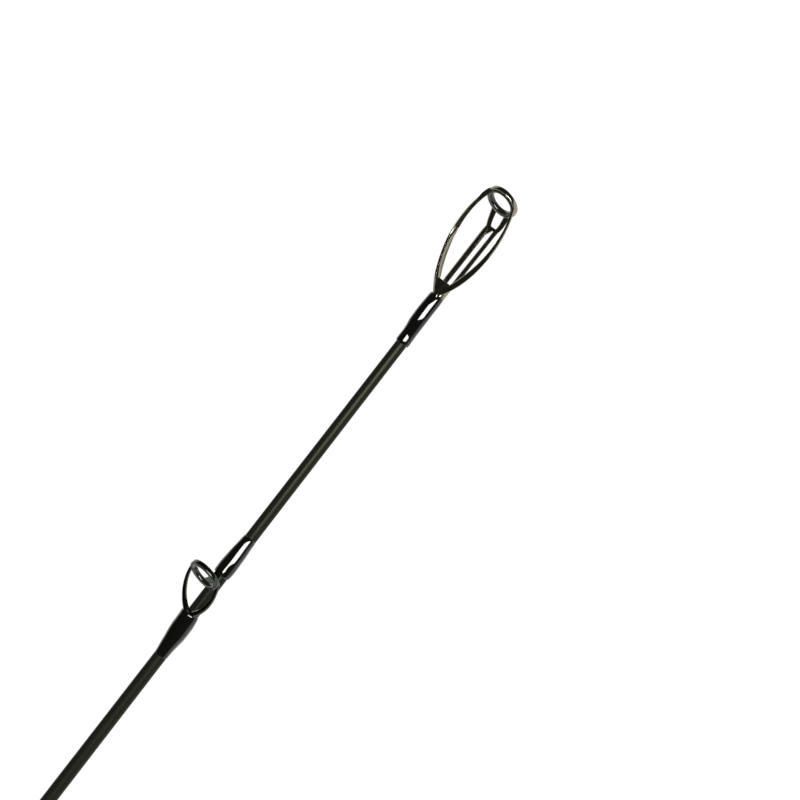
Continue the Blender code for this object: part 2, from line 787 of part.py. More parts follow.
    def frame(self):
        """One pressed and brazed frame with the ring's collar."""
        front = self.tube_end + FINE_GAP
        bridge_x = self.ring_x - BRIDGE_SETBACK
        pieces = [leaning_disc("tip_frame", self.centre, self.collar, COLLAR_WIDTH,
                               RING_SIDES, black_frame()), self.tail(), self.web()]
        for side in (1.0, -1.0):
            pieces.append(self.loop_leg(side))
            pieces.append(self.brace(side))
        pieces.append(self.cross_piece("root", front, front + ROOT_BAR_LENGTH,
                                       BRACE_HALF_SPACING + BRACE_WIDTH * 0.3,
                                       BRACE_DROP, BRACE_THICKNESS * 0.9))
        pieces.append(self.cross_piece("brace_tail", front - BRACE_TAIL_LENGTH,
                                       front + ROOT_BAR_LENGTH / 2, BRACE_TAIL_HALF_WIDTH,
                                       BRACE_DROP, BRACE_TAIL_THICKNESS))
        pieces.append(self.cross_piece("bridge", bridge_x - BRIDGE_LENGTH / 2,
                                       bridge_x + BRIDGE_LENGTH / 2, BRACE_HALF_SPACING,
                                       BRACE_DROP + BRACE_FALL, BRACE_THICKNESS * 0.8))
        hole = leaning_disc("hole", self.centre, flat_to_flat(self.bore, RING_SIDES),
                            2 * self.collar, RING_SIDES, black_frame())
        return smooth(cut(united(pieces), hole))

    def ring(self):
        """Ceramic ring of the tip-top."""
        ring = ring_insert("tip_ring", TIP_RING_DIAMETER, TIP_RING_BORE, GUIDES[0].ring_width)
        lean(ring, self.centre)
        return ring

    def wrap(self):
        """Thread and epoxy over the tube and the frame's tail."""
        bore = flat_to_flat(TIP_TUBE_RADIUS + FINE_GAP, WRAP_SIDES)
        wall = WRAP_WALL * 0.6
        hump = TIP_TAIL_THICKNESS + FINE_GAP + 0.00025
        stations = ((0.0, WRAP_EDGE_WALL, 0.0), (TIP_TAIL_START - FOOT_SHORTFALL, wall, 0.1),
                    (TIP_WRAP_LENGTH * 0.6, wall, 0.85), (TIP_WRAP_LENGTH, wall, 1.0))
        outer = [egg_section(x, bore + w, hump * share, WRAP_SIDES) for x, w, share in stations]
        inner = [egg_section(x, bore, hump * share, WRAP_SIDES) for x, w, share in stations]
        return smooth(sleeve("tip_wrap", outer, inner, epoxy_wrap()))

    def build(self):
        """All pieces, carried by the tip's reference point."""
        point = empty("tip_top", (TIP_WRAP_X, 0.0, 0.0))
        carry(point, self.tube(), self.frame(), self.ring(), self.wrap())


# Blank

def build_blank():
    """Tapered tube with a solid tip section and a turned-down end."""
    bore_end = TIP_WRAP_X - SOLID_TIP_LENGTH
    spigot_end = TIP_WRAP_X + TIP_SPIGOT_LENGTH
    spigot = TIP_TUBE_RADIUS - TIP_TUBE_WALL - FINE_GAP
    step = TIP_WRAP_X + TIP_TUBE_SETBACK - FINE_GAP
    outer = [(x, blank_radius(x)) for x in
             (BLANK_START_X, blend(BLANK_START_X, TIP_WRAP_X, 0.5), step)]
    outer += [(step, spigot), (spigot_end - TIP_SPIGOT_CHAMFER, spigot),
              (spigot_end, spigot - TIP_SPIGOT_CHAMFER)]
    inner = [(x, blank_radius(x) - BLANK_WALL) for x in (bore_end, BLANK_START_X)]
    bm = bmesh.new()
    rings = [[bm.verts.new(p) for p in circle(x, radius, BLANK_SIDES)]
             for x, radius in inner + outer]
    for a, b in zip(rings, rings[1:]):
        for i in range(BLANK_SIDES):
            j = (i + 1) % BLANK_SIDES
            bm.faces.new((a[i], a[j], b[j], b[i]))
    bm.faces.new(rings[0])
    bm.faces.new(rings[-1])
    return smooth(new_object("blank", bm, carbon_blank()))


# Handle

def blank_bore(start, end):
    """Bore of a handle piece that seats on the blank."""
    return [(x, blank_radius(x) + SEAT_GAP) for x in (start, end)]


def build_butt_cap():
    """Rubber cap with a flat end, round edge and a socket for the blank."""
    radius = BUTT_CAP_RADIUS
    edge = BUTT_CAP_ROUNDING
    end = BUTT_CAP_LENGTH
    angles = [math.pi / 2 * share for share in shares(4)]
    outer = [(edge * (1 - math.cos(a)), radius - edge * (1 - math.sin(a))) for a in angles]
    outer += [(end - BUTT_CAP_CHAMFER, radius), (end, radius - BUTT_CAP_CHAMFER)]
    socket = [(end, blank_radius(end) + SEAT_GAP),
              (BUTT_CAP_FLOOR, blank_radius(BUTT_CAP_FLOOR) + SEAT_GAP)]
    bm = bmesh.new()
    skin(bm, [circle(x, r, GRIP_SIDES) for x, r in outer + socket])
    return smooth(new_object("butt_cap", bm, butt_rubber()))


def trim_ring(name, start, length, radius):
    """Anodised ring with chamfered edges on the blank."""
    end = start + length
    low = radius - length * TRIM_CHAMFER_SHARE
    outer = [(start, low), (blend(start, end, 0.5), radius), (end, low)]
    return turned_sleeve(name, outer, blank_bore(start, end), GRIP_SIDES, black_anodised())


def build_rear_grip():
    """Long foam grip, waisted in the middle."""
    start = REAR_GRIP_X
    end = start + REAR_GRIP_LENGTH
    waist = REAR_GRIP_WAIST_PLACE
    outer = [(start, REAR_GRIP_END_RADIUS - GRIP_CHAMFER),
             (start + GRIP_CHAMFER, REAR_GRIP_END_RADIUS)]
    for share in shares(7)[1:-1]:
        behind = share < waist
        side = REAR_GRIP_END_RADIUS if behind else REAR_GRIP_FRONT_RADIUS
        away = (share - waist) / (waist if behind else 1 - waist)
        dip = math.cos(math.pi / 2 * away) ** 2
        outer.append((blend(start, end, share), blend(side, REAR_GRIP_WAIST_RADIUS, dip)))
    outer += [(end - GRIP_CHAMFER, REAR_GRIP_FRONT_RADIUS),
              (end, REAR_GRIP_FRONT_RADIUS - GRIP_CHAMFER)]
    return turned_sleeve("rear_grip", outer, blank_bore(start, end), GRIP_SIDES, foam_grip())


def build_foregrip():
    """Short foam grip that swells behind the middle and tapers forwards."""
    start = FOREGRIP_X
    end = start + FOREGRIP_LENGTH
    swell_x = blend(start, end, FOREGRIP_SWELL_PLACE)
    outer = [(start, FOREGRIP_REAR_RADIUS - GRIP_CHAMFER),
             (start + GRIP_CHAMFER, FOREGRIP_REAR_RADIUS)]
    for share in shares(4)[:-1]:
        fall = math.sin(math.pi / 2 * share) ** 2
        outer.append((blend(swell_x, end, share),
                      blend(FOREGRIP_SWELL_RADIUS, FOREGRIP_FRONT_RADIUS, fall)))
    outer += [(end - GRIP_CHAMFER, FOREGRIP_FRONT_RADIUS),
              (end, FOREGRIP_FRONT_RADIUS - GRIP_CHAMFER)]
    return turned_sleeve("foregrip", outer, blank_bore(start, end), GRIP_SIDES, foam_grip())


def build_front_check():
    """Cone that closes the foregrip's front end down to the blank."""
    start = FRONT_CHECK_X
    end = start + FRONT_CHECK_LENGTH
    nose = blank_radius(end) + SEAT_GAP + CHECK_WALL
    outer = [(start, FOREGRIP_FRONT_RADIUS - CHECK_CHAMFER),
             (start + 2 * CHECK_CHAMFER, FOREGRIP_FRONT_RADIUS),
             (start + CHECK_BAND_LENGTH, FOREGRIP_FRONT_RADIUS),
             (blend(start, end, 0.55), blend(FOREGRIP_FRONT_RADIUS, nose, 0.45)),
             (end - CHECK_CHAMFER, nose), (end, nose - CHECK_CHAMFER)]
    return turned_sleeve("front_check", outer, blank_bore(start, end), GRIP_SIDES,
                         black_anodised())


def plain_wrap(name, start, end):
    """Thread wrap round the bare blank, feathered at both ends."""
    taper = WRAP_TAPER_LENGTH / 2
    outer = []
    for x, wall in ((start, WRAP_EDGE_WALL), (start + taper, WRAP_WALL),
                    (end - taper, WRAP_WALL), (end, WRAP_EDGE_WALL)):
        base = flat_to_flat(blank_radius(x) + FINE_GAP, WRAP_SIDES)
        outer.append((x, base + wall))
    inner = [(x, blank_radius(x) + FINE_GAP) for x in (start, end)]
    return turned_sleeve(name, outer, inner, WRAP_SIDES, epoxy_wrap())


def build_arbors():
    """Three foam rings that centre the blank in the reel seat."""
    radius = SEAT_BORE_RADIUS - SEAT_GAP
    spans = (("rear_arbor", SEAT_X + ARBOR_INSET),
             ("middle_arbor", SEAT_X + (SEAT_LENGTH - ARBOR_LENGTH) / 2),
             ("front_arbor", SEAT_END_X - ARBOR_INSET - ARBOR_LENGTH))
    for name, start in spans:
        end = start + ARBOR_LENGTH
        turned_sleeve(name, [(start, radius), (end, radius)], blank_bore(start, end),
                      TUBE_SIDES, arbor_foam())


# Reel seat, with its rear end at x = 0

def pocket_cutter(name, start, end, floor):
    """Space for one end of the reel's foot, with rounded upper corners."""
    half = POCKET_HALF_WIDTH
    corner = POCKET_CORNER
    sections = [[Vector((x, half, floor)), Vector((x, half, POCKET_ROOF - corner)),
                 Vector((x, half - corner * 0.3, POCKET_ROOF - corner * 0.3)),
                 Vector((x, half - corner, POCKET_ROOF)),
                 Vector((x, corner - half, POCKET_ROOF)),
                 Vector((x, corner * 0.3 - half, POCKET_ROOF - corner * 0.3)),
                 Vector((x, -half, POCKET_ROOF - corner)), Vector((x, -half, floor))]
                for x in (start, end)]
    return lofted(name, sections, moulded_seat())


def trigger():
    """Finger hook: wide root, slim shank, rounded end that points forwards."""
    sections = []
    for fall, shift, half_length, half_width in TRIGGER_SHAPE:
        centre = Vector((TRIGGER_SETBACK + shift, 0.0, -TRIGGER_DEPTH * fall))
        sections.append([centre + Vector((half_length * p.y, half_width * p.z, 0.0))
                         for p in circle(0.0, 1.0, TUBE_SIDES)])
    return lofted("trigger", sections, moulded_seat())


def build_reel_seat():
    """Moulded seat: fixed hood, flat deck, trigger and threaded barrel."""
    barrel_start = SEAT_LENGTH - BARREL_LENGTH
    rear = SEAT_REAR_RADIUS
    grip = SEAT_GRIP_RADIUS
    edge = SEAT_CHAMFER
    rear_stations = ((0.0, rear - edge), (edge, rear), (FIXED_HOOD_START + 0.010, rear),
                     (FIXED_HOOD_END, grip + DECK_CLEARANCE))
    deck_stations = ((FIXED_HOOD_END - 0.006, grip - 0.0006), (FIXED_HOOD_END + 0.002, grip),
                     (barrel_start - 0.003, grip), (barrel_start, grip - 0.0012))
    hood_stations = ((0.0004, 0.0114, 0.0113), (FIXED_HOOD_START, 0.0125, 0.0132),
                     (FIXED_HOOD_START + 0.005, HOOD_HALF_WIDTH, HOOD_TOP - 0.0010),
                     (FIXED_HOOD_END - 0.006, HOOD_HALF_WIDTH, HOOD_TOP),
                     (FIXED_HOOD_END - 0.001, HOOD_HALF_WIDTH, HOOD_TOP - 0.0003),
                     (FIXED_HOOD_END + 0.0003, HOOD_HALF_WIDTH - 0.0006, HOOD_TOP - edge))
    body = lofted("reel_seat", [circle(x, radius, SEAT_SIDES) for x, radius in rear_stations],
                  moulded_seat())
    deck = lofted("deck", [d_section(x, radius, DECK_HEIGHT, SEAT_SIDES)
                           for x, radius in deck_stations], moulded_seat())
    floor = DECK_HEIGHT - DECK_CLEARANCE
    barrel = lofted("barrel", [d_section(x, BARREL_RADIUS, floor, SEAT_SIDES)
                               for x in (barrel_start - 0.002, SEAT_LENGTH)], moulded_seat())
    hood = lofted("hood", [arch_section(x, half, top, 0.0100, 3.2, SEAT_SIDES)
                           for x, half, top in hood_stations], moulded_seat())
    body = united([body, hood, deck, barrel, trigger()])
    pocket = pocket_cutter("pocket", FIXED_HOOD_END - POCKET_DEPTH, FIXED_HOOD_END + 0.0008,
                           floor)
    bore = lofted("bore", [circle(x, SEAT_BORE_RADIUS, BLANK_SIDES)
                           for x in (-0.002, SEAT_LENGTH + 0.002)], moulded_seat())
    seat = smooth(cut(body, pocket, bore))
    seat.location = (SEAT_X, 0.0, 0.0)
    return seat


def liner(name, start, end):
    """Thin steel lining under a hood's roof, with short skirts."""
    outside = POCKET_HALF_WIDTH - FINE_GAP
    roof = POCKET_ROOF - FINE_GAP
    corner = POCKET_CORNER
    inside = outside - LINER_THICKNESS
    under = roof - LINER_THICKNESS
    foot = POCKET_ROOF - LINER_SKIRT
    half = [(outside, foot), (outside, roof - corner), (outside - corner * 0.3,
            roof - corner * 0.3), (outside - corner, roof)]
    back = [(inside - corner, under), (inside - corner * 0.3, under - corner * 0.3),
            (inside, under - corner), (inside, foot)]
    outline = half + [(-y, z) for y, z in half[::-1]] + [(-y, z) for y, z in back[::-1]] + back
    sections = [[Vector((x, y, z)) for y, z in outline] for x in (start, end)]
    return lofted(name, sections, steel_liner())


def build_sliding_hood():
    """Hood that slides on the barrel and takes the front of the reel's foot."""
    length = SLIDING_HOOD_LENGTH
    stations = ((0.0, HOOD_HALF_WIDTH - 0.0006, HOOD_TOP - 0.0010, 0.0118),
                (0.0010, HOOD_HALF_WIDTH, HOOD_TOP - 0.0003, 0.0125),
                (length * 0.45, HOOD_HALF_WIDTH, HOOD_TOP, 0.0126),
                (length * 0.72, HOOD_HALF_WIDTH, HOOD_TOP - 0.0016, 0.0126),
                (length - 0.0008, HOOD_HALF_WIDTH, LOCK_NUT_RADIUS, 0.0126),
                (length, HOOD_HALF_WIDTH - 0.0006, LOCK_NUT_RADIUS - 0.0006, 0.0120))
    hood = lofted("sliding_hood", [arch_section(x, half, top, bottom, 2.6, SEAT_SIDES)
                                   for x, half, top, bottom in stations], moulded_seat())
    gap = RUNNING_GAP
    bore = lofted("hood_bore", [d_section(x, flat_to_flat(BARREL_RADIUS + gap, SEAT_SIDES),
                                          DECK_HEIGHT + gap, SEAT_SIDES)
                                for x in (-0.002, length + 0.002)], moulded_seat())
    pocket = pocket_cutter("hood_pocket", -0.002, POCKET_DEPTH, DECK_HEIGHT - 0.0005)
    hood = smooth(cut(hood, bore, pocket))
    hood.location = (SLIDING_HOOD_X, 0.0, 0.0)
    return hood


def build_lock_nut():
    """Fluted nut on the barrel's thread, with its origin on its axis."""
    length = LOCK_NUT_LENGTH
    sides = LOCK_NUT_FLUTES * 3
    depth = LOCK_NUT_FLUTE_DEPTH

    def fluted(x, radius, flute):
        points = circle(x, radius, sides)
        for point in points[::3]:
            point.yz = point.yz * (1 - flute / radius)
        return points

    edge = LOCK_NUT_CHAMFER
    outer = [fluted(0.0, LOCK_NUT_RADIUS - edge, 0.0), fluted(edge, LOCK_NUT_RADIUS, depth),
             fluted(length - edge, LOCK_NUT_RADIUS, depth),
             fluted(length, LOCK_NUT_RADIUS - edge, 0.0)]
    bore = flat_to_flat(BARREL_RADIUS + RUNNING_GAP, sides)
    inner = [circle(x, bore, sides) for x in (0.0, length)]
    nut = smooth(sleeve("lock_nut", outer, inner, black_anodised()), 25.0)
    nut.location = (LOCK_NUT_X, 0.0, 0.0)
    return nut


# Hook keeper, with its hinge pin above x = 0

class HookKeeper:
    """Small saddle with two ears and a wire loop that folds."""

    def __init__(self):
        self.radius = blank_radius(KEEPER_X)
        self.pin_z = self.radius + KEEPER_PIN_HEIGHT
        self.ear_y = KEEPER_LOOP_HALF_WIDTH - KEEPER_EAR_INSET

    def base(self):
        """Plate with two feet under thread and two drilled ears."""
        floor = self.radius + FINE_GAP
        half = self.ear_y + KEEPER_EAR_THICKNESS / 2
        plate = FOOT_THICKNESS
        shoulder = KEEPER_EAR_LENGTH / 2
        neck = shoulder + KEEPER_FOOT_STEP
        low = floor - KEEPER_PLATE_DEPTH
        stations = ((-KEEPER_FOOT_LENGTH, KEEPER_FOOT_TIP_HALF_WIDTH, FOOT_TIP_THICKNESS),
                    (-neck, KEEPER_FOOT_HALF_WIDTH, plate), (-shoulder, half, plate),
                    (shoulder, half, plate), (neck, KEEPER_FOOT_HALF_WIDTH, plate),
                    (KEEPER_FOOT_LENGTH, KEEPER_FOOT_TIP_HALF_WIDTH, FOOT_TIP_THICKNESS))
        sections = [[Vector((x, w, low)), Vector((x, w, floor + t)),
                     Vector((x, -w, floor + t)), Vector((x, -w, low))]
                    for x, w, t in stations]
        pieces = [lofted("keeper_base", sections, black_frame())]
        for side in (1.0, -1.0):
            pieces.append(self.ear(side, floor))
        body = united(pieces)
        pin = KEEPER_WIRE / 2 + FINE_GAP
        hole = lofted("pin_hole", [[Vector((pin * math.cos(a), y, self.pin_z + pin * math.sin(a)))
                                    for a in (math.tau * i / 12 for i in range(12))]
                                   for y in (-2 * half, 2 * half)], black_frame())
        saddle = lofted("keeper_saddle", [circle(x, flat_to_flat(blank_radius(KEEPER_X + x)
                                                                 + FINE_GAP, BLANK_SIDES),
                                                 BLANK_SIDES)
                                          for x in (-KEEPER_WRAP_LENGTH, KEEPER_WRAP_LENGTH)],
                        black_frame())
        return smooth(cut(body, hole, saddle))

    def ear(self, side, floor):
        """Lug with a round top that holds one end of the loop."""
        half = KEEPER_EAR_LENGTH / 2
        low = floor - KEEPER_PLATE_DEPTH / 2
        outline = [(half, low)]
        outline += [(half * math.cos(a), self.pin_z + half * math.sin(a))
                    for a in (math.pi * i / 8 for i in range(9))]
        outline.append((-half, low))
        faces = (side * self.ear_y - KEEPER_EAR_THICKNESS / 2,
                 side * self.ear_y + KEEPER_EAR_THICKNESS / 2)
        return lofted("ear", [[Vector((x, y, z)) for x, z in outline] for y in faces],
                      black_frame())

    def loop(self):
        """Wire bail, folded down towards the tip, with its ends in the ears."""
        wide = KEEPER_LOOP_HALF_WIDTH
        bend = KEEPER_WIRE * KEEPER_BEND_SHARE
        inward = self.ear_y - KEEPER_EAR_THICKNESS / 2 - KEEPER_END_PLAY
        half = [(0.0, inward), (0.0, wide - bend), (bend, wide)]
        bend_x = KEEPER_LOOP_LENGTH - wide
        count = 9
        arc = [(bend_x + wide * math.sin(math.pi * s), wide * math.cos(math.pi * s))
               for s in shares(count)]
        route = half + arc + [(x, -y) for x, y in half[::-1]]
        curve = bpy.data.curves.new("keeper_loop", "CURVE")
        curve.dimensions = "3D"
        curve.bevel_depth = KEEPER_WIRE / 2
        curve.bevel_resolution = 2
        curve.use_fill_caps = True
        spline = curve.splines.new("POLY")
        spline.points.add(len(route) - 1)
        for point, (x, y) in zip(spline.points, route):
            point.co = (x, y, 0.0, 1.0)
        wire = bpy.data.objects.new("keeper_loop", curve)
        bpy.context.scene.collection.objects.link(wire)
        curve.materials.append(black_anodised())
        return wire

    def wrap(self, name, root, end):
        """Thread and epoxy over one foot of the keeper."""
        step = math.copysign(1.0, end - root)
        stations = ((root, WRAP_WALL, 0.75), (end - step * KEEPER_WRAP_TAPER, WRAP_WALL, 0.55),
                    (end, WRAP_EDGE_WALL, 0.0))
        outer = []
        inner = []
        for x, wall, share in stations:
            base = flat_to_flat(blank_radius(KEEPER_X + x) + FINE_GAP, WRAP_SIDES)
            outer.append(egg_section(x, base + wall, FOOT_HUMP * share, WRAP_SIDES))
            inner.append(egg_section(x, base, FOOT_HUMP * share, WRAP_SIDES))
        return smooth(sleeve(name, outer, inner, epoxy_wrap()))

    def build(self):
        """Base and wraps on the blank, loop on its hinge axis."""
        point = empty("hook_keeper", (KEEPER_X, 0.0, 0.0))
        near = KEEPER_EAR_LENGTH / 2 + KEEPER_WRAP_SETBACK
        front = self.wrap("keeper_front_wrap", near, KEEPER_WRAP_LENGTH)
        rear = self.wrap("keeper_rear_wrap", -near, -KEEPER_WRAP_LENGTH)
        carry(point, self.base(), front, rear)
        hinge = empty("keeper_hinge", (KEEPER_X, 0.0, self.pin_z))
        carry(hinge, self.loop())


def build_handle():
    """Everything from the butt cap to the wrap in front of the foregrip."""
    build_butt_cap()
    trim_ring("butt_ring", BUTT_RING_X, BUTT_RING_LENGTH, BUTT_RING_RADIUS)
    build_rear_grip()
    trim_ring("seat_ring", SEAT_RING_X, SEAT_RING_LENGTH, SEAT_RING_RADIUS)
    build_reel_seat()
    build_arbors()
    hood_mouth = SEAT_X + FIXED_HOOD_END
    liner("rear_hood_liner", hood_mouth - LINER_SETBACK - LINER_LENGTH,
          hood_mouth - LINER_SETBACK)
    build_sliding_hood()
    front_mouth = SLIDING_HOOD_X + LINER_SETBACK
    liner("front_hood_liner", front_mouth, front_mouth + LINER_LENGTH)
    build_lock_nut()
    trim_ring("fore_ring", FORE_RING_X, FORE_RING_LENGTH, FOREGRIP_REAR_RADIUS)
    build_foregrip()
    build_front_check()
    plain_wrap("butt_wrap", BUTT_WRAP_X, BUTT_WRAP_X + BUTT_WRAP_LENGTH)


def main():
    """Build the whole rod in an empty scene."""
    for obj in list(bpy.data.objects):
        bpy.data.objects.remove(obj)
    build_blank()
    build_handle()
    HookKeeper().build()
    for spec in GUIDES:
        RunningGuide(spec).build()
    TipTop().build()
    bpy.context.view_layer.update()


main()
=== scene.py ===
"""Casting rod: its looks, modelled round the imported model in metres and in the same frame.

The rod lies along X with its butt at x = 0 and its tip at x = 1.83. The guides and the
reel's deck look to +Z and the trigger hangs at -Z.
"""

import logging
import math
from abc import ABC, abstractmethod
from collections.abc import Callable, Sequence
from dataclasses import dataclass
from enum import Enum

import bmesh
import bpy
from mathutils import Matrix, Vector
from mathutils.geometry import interpolate_bezier


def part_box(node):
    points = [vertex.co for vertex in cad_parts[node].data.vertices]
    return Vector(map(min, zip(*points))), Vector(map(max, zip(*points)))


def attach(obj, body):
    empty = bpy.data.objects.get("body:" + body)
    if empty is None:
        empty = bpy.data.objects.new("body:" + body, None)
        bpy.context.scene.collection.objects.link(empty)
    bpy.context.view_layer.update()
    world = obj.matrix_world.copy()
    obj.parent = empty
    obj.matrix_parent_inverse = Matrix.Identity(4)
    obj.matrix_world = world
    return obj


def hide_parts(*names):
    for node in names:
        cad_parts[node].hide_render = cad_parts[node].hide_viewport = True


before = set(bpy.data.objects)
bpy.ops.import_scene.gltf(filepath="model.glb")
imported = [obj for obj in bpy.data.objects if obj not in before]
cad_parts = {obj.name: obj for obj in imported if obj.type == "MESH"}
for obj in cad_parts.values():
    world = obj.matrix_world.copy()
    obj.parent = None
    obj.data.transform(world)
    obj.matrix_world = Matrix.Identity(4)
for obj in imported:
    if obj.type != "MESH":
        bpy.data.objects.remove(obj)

LOG = logging.getLogger("casting_rod")
MM = 0.001
QUARTER = math.pi / 2
# Distance within which doubles are merged.
WELD = 1e-7
# Facets round the larger turned pieces.
FINE_SIDES = 96
# Angles of clean(): edges steeper than this stay sharp, in degrees.
STRIP_EDGES = 40.0
ROUND_EDGES = 60.0
HOOD_EDGES = 38.0
CUT_EDGES = 30.0

Piece = bpy.types.Object
Material = bpy.types.Material
Socket = bpy.types.NodeSocket
Row = tuple[float, ...]


class Body(Enum):
    """Rigid bodies that the pieces ride on."""

    ROD = "rod"
    HOOD = "sliding_hood"
    NUT = "lock_nut"
    LOOP = "keeper_loop"


class Side(Enum):
    """Side of the rod, as the camera sees it: +Y is the far one."""

    FAR = 1.0
    NEAR = -1.0


class End(Enum):
    """End of a piece: the front one looks to the tip, the rear one to the butt."""

    FRONT = 1.0
    REAR = -1.0


class Boolean(Enum):
    """What a second piece does to the first."""

    ADD = "UNION"
    CUT = "DIFFERENCE"


# Small tools for modelling


def deselect() -> None:
    """Leave edit mode and clear the selection."""
    if bpy.context.mode != "OBJECT":
        bpy.ops.object.mode_set(mode="OBJECT")
    bpy.ops.object.select_all(action="DESELECT")


def pick(piece: Piece) -> Piece:
    """Select one piece alone and make it active.

    Args:
        piece: Piece to work on.

    Returns:
        The same piece.
    """
    deselect()
    piece.select_set(True)
    bpy.context.view_layer.objects.active = piece
    return piece


def named(name: str) -> Piece:
    """Name the new primitive and put its place in its mesh.

    Args:
        name: Name of the piece and its mesh.

    Returns:
        The new piece, at the origin.
    """
    piece = bpy.context.object
    piece.name = name
    piece.data.name = name
    bpy.ops.object.transform_apply(location=True, rotation=True, scale=True)
    return piece


def linked(name: str, data: bpy.types.ID) -> Piece:
    """Put new data in the scene.

    Args:
        name: Name of the object.
        data: Mesh, curve, camera or light.

    Returns:
        The object that shows it.
    """
    made = bpy.data.objects.new(name, data)
    bpy.context.scene.collection.objects.link(made)
    return made


def select_where(piece: Piece, test: Callable[[Vector], bool]) -> int:
    """Select in edit mode the vertices whose place passes a test.

    Args:
        piece: Piece in edit mode.
        test: Says of a vertex's place whether it is selected.

    Returns:
        How many vertices are selected.
    """
    mesh = bmesh.from_edit_mesh(piece.data)
    bpy.context.tool_settings.mesh_select_mode = (True, False, False)
    mesh.select_mode = {"VERT"}
    count = 0
    for vertex in mesh.verts:
        chosen = test(vertex.co)
        vertex.select = chosen
        count += chosen
    mesh.select_flush_mode()
    bmesh.update_edit_mesh(piece.data)
    return count


def add_modifier(piece: Piece, kind: str, **settings: object) -> Piece:
    """Add a modifier with its settings and apply it.

    Args:
        piece: Piece that is changed.
        kind: Modifier type.
        settings: Values set on the modifier.

    Returns:
        The piece.
    """
    pick(piece)
    modifier = piece.modifiers.new(kind.title(), kind)
    for key, value in settings.items():
        setattr(modifier, key, value)
    bpy.ops.object.modifier_apply(modifier=modifier.name)
    return piece


def combine(piece: Piece, other: Piece, how: Boolean) -> Piece:
    """Apply a Boolean of two pieces to the first and remove the second.

    Args:
        piece: Piece that is changed.
        other: Piece that is added or cut away.
        how: Which of the two.

    Returns:
        The changed piece.
    """
    add_modifier(piece, "BOOLEAN", operation=how.value, solver="EXACT", object=other)
    bpy.data.objects.remove(other)
    return piece


def joined(pieces: Sequence[Piece]) -> Piece:
    """Join several pieces in the first one's object.

    Args:
        pieces: Pieces to join.

    Returns:
        The first piece with all their meshes.
    """
    pick(pieces[0])
    for piece in pieces[1:]:
        piece.select_set(True)
    bpy.ops.object.join()
    return pieces[0]


def clean(piece: Piece, angle: float = 35.0) -> Piece:
    """Merge doubles, turn the faces outwards and shade the piece smooth.

    Args:
        piece: Piece to finish.
        angle: Edges steeper than this stay sharp, in degrees.

    Returns:
        The same piece.
    """
    pick(piece)
    bpy.ops.object.mode_set(mode="EDIT")
    bpy.ops.mesh.select_all(action="SELECT")
    bpy.ops.mesh.remove_doubles(threshold=WELD)
    bpy.ops.mesh.normals_make_consistent(inside=False)
    bpy.ops.object.mode_set(mode="OBJECT")
    bpy.ops.object.shade_smooth_by_angle(angle=math.radians(angle))
    return piece


def evened(piece: Piece) -> Piece:
    """Let the large faces lead the shading, so that flats look flat."""
    return add_modifier(piece, "WEIGHTED_NORMAL", keep_sharp=True)


def turned(name: str, stations: Sequence[tuple[float, float]], sides: int = 64,
           ring: bool = False) -> Piece:
    """Turn a piece round the X axis: a circle is extruded and resized along the stations.

    Args:
        name: Name of the piece.
        stations: Places along X, each with its radius.
        sides: Facets round the piece.
        ring: Whether the last station joins the first and leaves a bore.

    Returns:
        The turned piece.
    """
    deselect()
    route = list(stations) + ([stations[0]] if ring else [])
    x, radius = route[0]
    bpy.ops.mesh.primitive_circle_add(vertices=sides, radius=radius, location=(x, 0.0, 0.0),
                                      rotation=(0.0, QUARTER, 0.0))
    piece = named(name)
    bpy.ops.object.mode_set(mode="EDIT")
    bpy.ops.mesh.select_all(action="SELECT")
    for next_x, next_radius in route[1:]:
        bpy.ops.mesh.extrude_region_move(TRANSFORM_OT_translate={"value": (next_x - x, 0.0, 0.0)})
        grow = next_radius / radius
        bpy.ops.transform.resize(value=(1.0, grow, grow), center_override=(next_x, 0.0, 0.0))
        x, radius = next_x, next_radius
    if not ring:
        bpy.ops.mesh.select_all(action="SELECT")
        bpy.ops.mesh.fill_holes(sides=0)
    bpy.ops.object.mode_set(mode="OBJECT")
    return clean(piece)


def circle(count: int) -> list[tuple[float, float]]:
    """Cosines and sines of angles that share a full turn evenly."""
    return [(math.cos(math.tau * i / count), math.sin(math.tau * i / count))
            for i in range(count)]


def squared(count: int, power: float) -> list[tuple[float, float]]:
    """Points round a unit circle, squared off by a power above 2."""
    return [(math.copysign(abs(c) ** (2 / power), c), math.copysign(abs(s) ** (2 / power), s))
            for c, s in circle(count)]


def placed(start: float, rows: Sequence[Row]) -> list[Row]:
    """Turn places and radii in millimetres to metres along the rod from a start."""
    return [(start + x * MM, radius * MM) for x, radius in rows]


def lofted(name: str, sections: Sequence[Sequence[Vector]]) -> Piece:
    """Skin closed sections of equal count and cap both ends.

    Args:
        name: Name of the piece.
        sections: Closed loops of points, in order along the piece.

    Returns:
        The closed piece.
    """
    deselect()
    mesh = bpy.data.meshes.new(name)
    count = len(sections[0])
    faces = [(k * count + i, k * count + (i + 1) % count, (k + 1) * count + (i + 1) % count,
              (k + 1) * count + i) for k in range(len(sections) - 1) for i in range(count)]
    last = (len(sections) - 1) * count
    faces += [tuple(range(count)), tuple(range(last, last + count))]
    mesh.from_pydata([p for section in sections for p in section], [], faces)
    return clean(linked(name, mesh))


def arch(x: float, half_width: float, top: float, bottom: float, power: float,
         sides: int) -> list[Vector]:
    """Make a rounded section round the X axis with its own height above and below.

    Args:
        x: Place of the section.
        half_width: Half its width.
        top: Height over the axis.
        bottom: Depth below the axis.
        power: Squareness, 2 for an ellipse.
        sides: Points round the section.

    Returns:
        The points of the section.
    """
    return [Vector((x, half_width * c, (top if s > 0 else bottom) * s))
            for c, s in squared(sides, power)]


